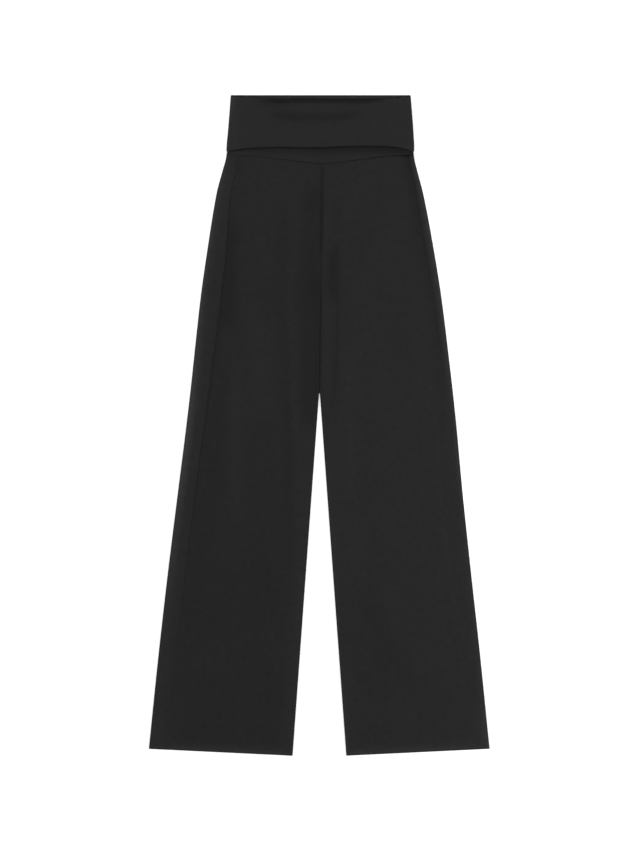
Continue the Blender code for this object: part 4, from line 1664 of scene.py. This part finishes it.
@dataclass
class Waistband(Garment):
    """The front or the back of the fold-over waistband."""

    layer: Layer = Layer.FRONT
    columns: int = 110
    stand_rows: int = 26
    hang_rows: int = 52
    turn_steps: int = 16
    roll_steps: int = 10
    roll_power: float = 0.75  # below 1 it crowds the columns of a side's roll towards its end
    margin: float = 0.0030  # the lines at the seam and the free edge are crowded at least this far in
    fold_margin: float = 0.0010  # the rows beside the top fold start this far from it
    free_steps: int = 6
    free_growth: float = 1.3
    side_rim: float = 0.0005
    loft: float = 0.0008
    least_loft: float = -0.0004  # its creases press it in no further than this
    loft_power: float = 12.0
    flare: float = 0.0003  # how much further the cloth stands clear at the free edge
    flare_reach: float = 0.016
    flare_lean: float = 0.35  # how much more it flares to the wearer's left, as a share
    # Share, radians for each metre and phase of the waves along the flare
    flare_waves: tuple[tuple[float, float, float], ...] = ((0.10, 61.0, 0.8), (0.06, 113.0, 0.0))
    band_tuck: float = 0.0001  # how far the cloth dips into the waistband seam
    corner_pale_right: float = 0.24  # how much lighter painted light makes it towards its ends
    corner_pale_left: float = 0.13
    corner_reach: float = 0.020
    side_pale_right: float = 0.80  # and a painted highlight in a narrower line there
    side_pale_left: float = 0.05
    side_fade: float = 0.6  # share by which the right one fades down the cloth
    side_fades: tuple[float, float] = (0.015, 0.045)  # it fades over these distances down
    side_reach: float = 0.0045
    mouth_painted_shadow: float = 0.48  # how much darker a painted shadow makes the cloth down the waist opening
    mouth_start: tuple[float, float] = (0.0042, 0.0062)
    lip_painted_shade: float = 0.80  # and how much darker painted shade makes it at the front's lip
    lip_reach: float = 0.0042
    lip_power: float = 2.2
    shade_end_right: tuple[float, float] = (0.062, 0.132)  # both end over these, from the opening's middle
    shade_end_left: tuple[float, float] = (0.078, 0.112)
    fold_shade: float = 1.00  # how much darker painted shade makes the front along the top fold
    # The back's painted shade along its top fold
    back_fold_shade: float = 0.36
    fold_shade_end: tuple[float, float] = (0.0022, 0.0034)
    fold_pale: float = 0.40  # how much lighter a painted highlight makes it in a line below that
    # The back's painted highlight in a line below it
    back_fold_pale: float = 0.90
    fold_pale_down: float = 0.0037
    fold_pale_width: float = 0.0008

    @property
    def name(self) -> str:
        """The node that this half stands for."""
        return f"{self.layer.word}_waistband"

    @property
    def creases(self) -> tuple[Crease, ...]:
        """The creases of this half."""
        return FRONT_CREASES if self.layer is Layer.FRONT else BACK_CREASES

    def half_span(self, down: np.ndarray) -> np.ndarray:
        """Half the width of the flat middle, between the rolls at the sides.

        Args:
            down: Distances below the top fold.

        Returns:
            The half width at each distance.
        """
        cut, stack = self.cut, self.stack
        roll_width = stack.stand_height - cut.seam_gap / 2 + stack.band_cloth / 2
        step = stack.band_step * (1.0 - ease(down, *cut.step_out))
        return cut.section("half_width", down) - step - roll_width

    def past(self, x: np.ndarray, reach: tuple[float, float]) -> np.ndarray:
        """0 up to one distance from the opening's middle and 1 past another, with an S between."""
        return ease(np.abs(x - self.cut.waist_x), *reach)

    def depth_shown(self, x: np.ndarray) -> np.ndarray:
        """How much the opening's painted shadow darkens the cloth: less as it narrows, and sooner than it
        closes.
        """
        return 1.0 - np.where(x < 0.0, self.past(x, self.shade_end_right), self.past(x, self.shade_end_left))

    def fold_down(self, x: np.ndarray) -> np.ndarray:
        """How far down this half's top fold is: only the front's sags, and least at its corners.

        Args:
            x: Places across the waistband.

        Returns:
            The fold's distance down at each x.
        """
        cut = self.cut
        if self.layer is Layer.BACK:
            return 0.0 * x
        side = cut.side_sag + (cut.corner_sag - cut.side_sag) * self.past(x, cut.waist_corner)
        return side + (cut.waist_sag - cut.side_sag) * (1.0 - self.past(x, cut.waist_mouth))

    def lofted(self, x: np.ndarray, down: np.ndarray) -> np.ndarray:
        """How far the turned-down cloth stands clear of the stretch below it, 0 at the sides.

        It is the loft with its creases and a wavy flare that grows exponentially towards the free edge, all
        times 1 - share^power, where share is the part of the way from the middle to the sides.

        Args:
            x: Places across the waistband.
            down: Distances below the top fold.

        Returns:
            The clearance at each place.
        """
        share = np.abs(x - self.cut.middle(down)) / self.cut.section("half_width", down)
        flare = self.flare * np.exp((down - self.cut.free_edge_down) / self.flare_reach)
        lean = 1.0 + self.flare_lean * x / self.half_span(down)
        waves = sum(size * np.sin(turns * x + phase) for size, turns, phase in self.flare_waves)
        creases = sum(crease.relief(x, down) for crease in self.creases)
        clear = self.loft + creases + flare * lean * (1.0 + waves)
        return np.maximum(clear, self.least_loft) * np.clip(1.0 - share**self.loft_power, 0.0, 1.0)

    def columns_across(self) -> tuple[np.ndarray, np.ndarray]:
        """The columns: evenly over the flat middle, and round a quarter roll at each side.

        Returns:
            How far each lies over the flat middle, from -1 to 1, and its angle round the roll.
        """
        flat = np.linspace(-1.0, 1.0, self.columns + 1)
        quarter = (math.pi / 2) * np.linspace(0.0, 1.0, self.roll_steps + 1)[1:] ** self.roll_power
        side = np.ones_like(quarter)
        across = np.concatenate([-side, flat, side])
        angle = np.concatenate([-quarter[::-1], 0 * flat, quarter])
        return across[None, :], angle[None, :]

    def laid(self, across: np.ndarray) -> tuple[np.ndarray, np.ndarray, np.ndarray]:
        """The rows: up from the seam, round the half circle of the top fold and down to the free edge.

        Args:
            across: How far each column lies over the flat middle, from -1 to 1.

        Returns:
            x and down over the grid, and how far over each row is turned, from 0 to 1.
        """
        cut, stack = self.cut, self.stack
        seam_rim = rim_lines(self.side_rim, self.growth, self.margin)
        free_rim = rim_lines(stack.band_cloth / 2, self.free_growth, self.margin, self.free_steps)
        beside_fold = np.array([self.fold_margin])
        stand_lines = spread(seam_rim, beside_fold, self.stand_rows).as_rows()
        hang_lines = spread(beside_fold, free_rim, self.hang_rows).as_rows()
        turn = np.linspace(0.0, math.pi, self.turn_steps + 1)[:, None]
        stand_count = len(stand_lines.share)
        turned = np.vstack([0 * stand_lines.share, (1.0 - np.cos(turn)) / 2, 0 * hang_lines.share + 1.0])

        rise = stack.turned_height - stack.stand_height
        centre = self.fold_down(self.half_span(np.zeros(1)) * across) + (stack.band_cloth + rise) / 2
        free = cut.free_edge(across)
        down = np.full((len(turned), across.shape[1]), cut.free_edge_down / 2)
        for _ in range(self.passes):
            x = cut.middle(down) + across * self.half_span(down)
            seam = cut.band_seam(x[:stand_count], cut.seam_down(self.layer)) - cut.shut_gap
            stand = stand_lines.place(seam, centre + 0 * seam)
            fold = centre - rise / 2 * np.sin(turn)
            hang = hang_lines.place(centre + 0 * hang_lines.share, free + 0 * hang_lines.share)
            down = np.vstack([stand, fold, hang])
        return cut.middle(down) + across * self.half_span(down), down, turned

    def sheet(self) -> ClothSheet:
        """Works out this half: flat between the quarter rolls at its sides, and folded over at the top.

        Returns:
            The sheet, ready to build.
        """
        cut, stack = self.cut, self.stack
        across, angle = self.columns_across()
        x, down, turned = self.laid(across)
        centre_roll = cut.seam_gap / 2
        step = stack.turned_height - stack.stand_height + self.lofted(x, down)
        radius = stack.stand_height + turned * step - centre_roll
        core = stack.lift(down) + stack.band_step
        z = core + self.layer.value * (centre_roll + radius * np.cos(angle))
        if self.layer is Layer.BACK:
            z = np.maximum(z, stack.band_cloth / 2)
        grid = np.stack([x + radius * np.sin(angle), cut.waist_y - down, z], axis=-1)
        out = -self.layer.value * normals(grid)
        grid = self.tucked(grid, out, {"top": self.band_tuck})
        tone = self.painted_shades(x, down, turned, np.abs(across))
        rims = Rims(self.side_rim, stack.band_cloth / 2, self.side_rim, self.side_rim)
        return ClothSheet(f"jersey_{self.name}", grid, stack.band_cloth, rims, tone, grid[:, :1, 0])

    def painted_shades(self, x: np.ndarray, down: np.ndarray, turned: np.ndarray, share: np.ndarray) -> np.ndarray:
        """Painted light and shade on the cloth: painted highlights at its ends and below its top fold,
        painted shade along that fold, in its creases and at the front's lip, and painted shadow down the
        waist opening and below the free edge.

        Args:
            x: Places across the waistband.
            down: Distances below the top fold.
            turned: 0 on the standing cloth and 1 on the turned-down cloth.
            share: Part of the way from the middle to the sides.

        Returns:
            The tone at each grid point.
        """
        # Painted light towards the ends, wider at the corners and in a narrow line on the right
        from_end = (1.0 - share) * self.half_span(down)
        corner = np.where(x < 0.0, self.corner_pale_right, self.corner_pale_left)
        ends = corner * np.exp(-from_end / self.corner_reach)
        side = self.side_pale_right * (1.0 - self.side_fade * ease(down, *self.side_fades))
        side = np.where(x < 0.0, side, self.side_pale_left)
        ends = np.maximum(ends, side * np.exp(-from_end / self.side_reach))
        # Painted shade in the creases of the turned-down cloth
        creases = sum(crease.relief(x, down) for crease in self.creases) * turned
        # Painted shade along the top fold, and a painted highlight in a line below it
        below = np.maximum(down - self.fold_down(x), 0.0)
        fold = 1.0 - ease(below, *self.fold_shade_end)
        line = bell(below - self.fold_pale_down, self.fold_pale_width)
        # On the back, painted shadow down the waist opening; on the front, painted shade at its lip and the
        # painted shadow below the free edge
        if self.layer is Layer.BACK:
            top = self.back_fold_pale * line - self.back_fold_shade * fold
            shade = self.mouth_painted_shadow * ease(down, *self.mouth_start) * self.depth_shown(x)
        else:
            top = (self.fold_pale * line - self.fold_shade * fold) * self.past(x, self.cut.waist_corner)
            lip = self.lip_painted_shade * np.exp(-((below / self.lip_reach) ** self.lip_power))
            shade = lip * self.depth_shown(x) + (1.0 - turned) * self.stack.band_painted_shadow(x, down)
        return ends + top + self.relief_painted_shading * creases - shade

    def build(self) -> bpy.types.Object:
        """Builds and dresses this half."""
        rests_on = ["jersey_back_waistband"] if self.layer is Layer.FRONT else []
        return self.dressed(self.sheet(), BAND_JERSEY, self.name, rests_on)


@dataclass(frozen=True)
class Softbox:
    """One square area light that faces the middle of the garment."""

    name: str
    turn: float  # where it stands, in degrees from +X
    height: float  # above the table, in degrees
    distance: float
    size: float  # the side of its square
    light: float  # what it gives a white card that lies on the table

    def build(self) -> bpy.types.Object:
        """Builds the light.

        A square that lights a card lying at distance d and height angle h has the power
        light * pi^2 * d^2 / sin(h), where d is large against its size.

        Returns:
            The new light, linked to the scene.
        """
        around, above = math.radians(self.turn), math.radians(self.height)
        lamp = bpy.data.lights.new(self.name, "AREA")
        lamp.shape = "SQUARE"
        lamp.size = self.size
        lamp.energy = self.light * math.pi**2 * self.distance**2 / math.sin(above)
        flat = math.cos(above)
        place = self.distance * Vector((flat * math.cos(around), flat * math.sin(around), math.sin(above)))
        box = bpy.data.objects.new(self.name, lamp)
        box.location = place
        box.rotation_euler = (-place).to_track_quat("-Z", "Y").to_euler()
        bpy.context.scene.collection.objects.link(box)
        return box


@dataclass
class Studio:
    """The pale table, the soft lights and the camera overhead."""

    garment_length: float
    lens: float = 85.0
    sensor: float = 36.0
    view_length: float = 1.2903  # what the camera sees along its long side, in garment lengths
    aim_right: float = 0.0018
    aim_down: float = 0.0018
    floor_half: float = 40.0
    floor_drop: float = 0.0003  # how far the table lies clear of the cloth on it
    floor_white: float = 0.88
    floor_roughness: float = 0.9
    floor_specular: float = 0.1
    floor_glow: float = 0.55
    sky: float = 0.08  # strength of the room as a light
    backdrop: float = 1.05  # and as the camera sees it
    lights: tuple[Softbox, ...] = (
        Softbox("left-hand softbox", turn=-8.0, height=46.0, distance=2.3, size=1.0, light=0.38),
        Softbox("waist softbox", turn=105.0, height=30.0, distance=3.2, size=1.4, light=0.25),
        Softbox("right-hand softbox", turn=215.0, height=42.0, distance=4.5, size=1.8, light=0.18),
        Softbox("hem softbox", turn=285.0, height=35.0, distance=4.5, size=1.6, light=0.05),
    )

    def floor(self) -> bpy.types.Object:
        """Builds the table: one large white square that glows a little, as a light table does.

        Returns:
            The table.
        """
        half, drop = self.floor_half, self.floor_drop
        corners = [(-half, -half, -drop), (half, -half, -drop), (half, half, -drop), (-half, half, -drop)]
        mesh = bpy.data.meshes.new("table")
        mesh.from_pydata(corners, [], [(0, 1, 2, 3)])
        material = bpy.data.materials.new("white table")
        material.use_nodes = True
        shader = material.node_tree.nodes["Principled BSDF"]
        shader.inputs["Base Color"].default_value = (self.floor_white,) * 3 + (1.0,)
        shader.inputs["Roughness"].default_value = self.floor_roughness
        shader.inputs["Specular IOR Level"].default_value = self.floor_specular
        shader.inputs["Emission Color"].default_value = (1.0, 1.0, 1.0, 1.0)
        shader.inputs["Emission Strength"].default_value = self.floor_glow
        mesh.materials.append(material)
        table = bpy.data.objects.new("table", mesh)
        bpy.context.scene.collection.objects.link(table)
        return table

    def world(self) -> None:
        """A plain pale sky that is white to the camera and softer as a light."""
        world = bpy.data.worlds.new("pale room")
        bpy.context.scene.world = world
        world.use_nodes = True
        tree = world.node_tree
        background = tree.nodes["Background"]
        path = tree.nodes.new("ShaderNodeLightPath")
        strength = tree.nodes.new("ShaderNodeMapRange")
        strength.inputs["To Min"].default_value = self.sky
        strength.inputs["To Max"].default_value = self.backdrop
        tree.links.new(path.outputs["Is Camera Ray"], strength.inputs["Value"])
        tree.links.new(strength.outputs["Result"], background.inputs["Strength"])
        background.inputs["Color"].default_value = (1.0, 1.0, 1.0, 1.0)

    def camera(self) -> bpy.types.Object:
        """Hangs the camera straight over the garment, as far off as its lens needs to see view_length.

        Returns:
            The camera.
        """
        data = bpy.data.cameras.new("overhead camera")
        data.lens = self.lens
        data.sensor_width = self.sensor
        camera = bpy.data.objects.new("overhead camera", data)
        low, high = CAD_BOX
        centre = (low + high) / 2
        distance = self.view_length * self.garment_length * self.lens / self.sensor
        camera.location = (centre.x + self.aim_right, centre.y - self.aim_down, centre.z + distance)
        bpy.context.scene.collection.objects.link(camera)
        bpy.context.scene.camera = camera
        return camera

    def build(self) -> None:
        """Sets up the whole studio."""
        self.floor()
        for light in self.lights:
            light.build()
        self.world()
        self.camera()
        bpy.context.scene.view_settings.view_transform = "Standard"


def main() -> None:
    """Builds the garment's pieces and the studio."""
    logging.basicConfig(level=logging.INFO, format="%(message)s")
    low, high = CAD_BOX
    cut = TrouserCut(waist_y=high.y, length=high.y - low.y)
    stack = ClothStack(cut)
    for side in Side:
        for layer in (Layer.BACK, Layer.FRONT):
            LegPanel(cut, stack, side=side, layer=layer).build()
    for layer in (Layer.BACK, Layer.FRONT):
        Waistband(cut, stack, layer=layer).build()
    Studio(garment_length=cut.length).build()
    LOG.info("studio: %d lights", len(bpy.data.lights))


if __name__ == "__main__":
    main()
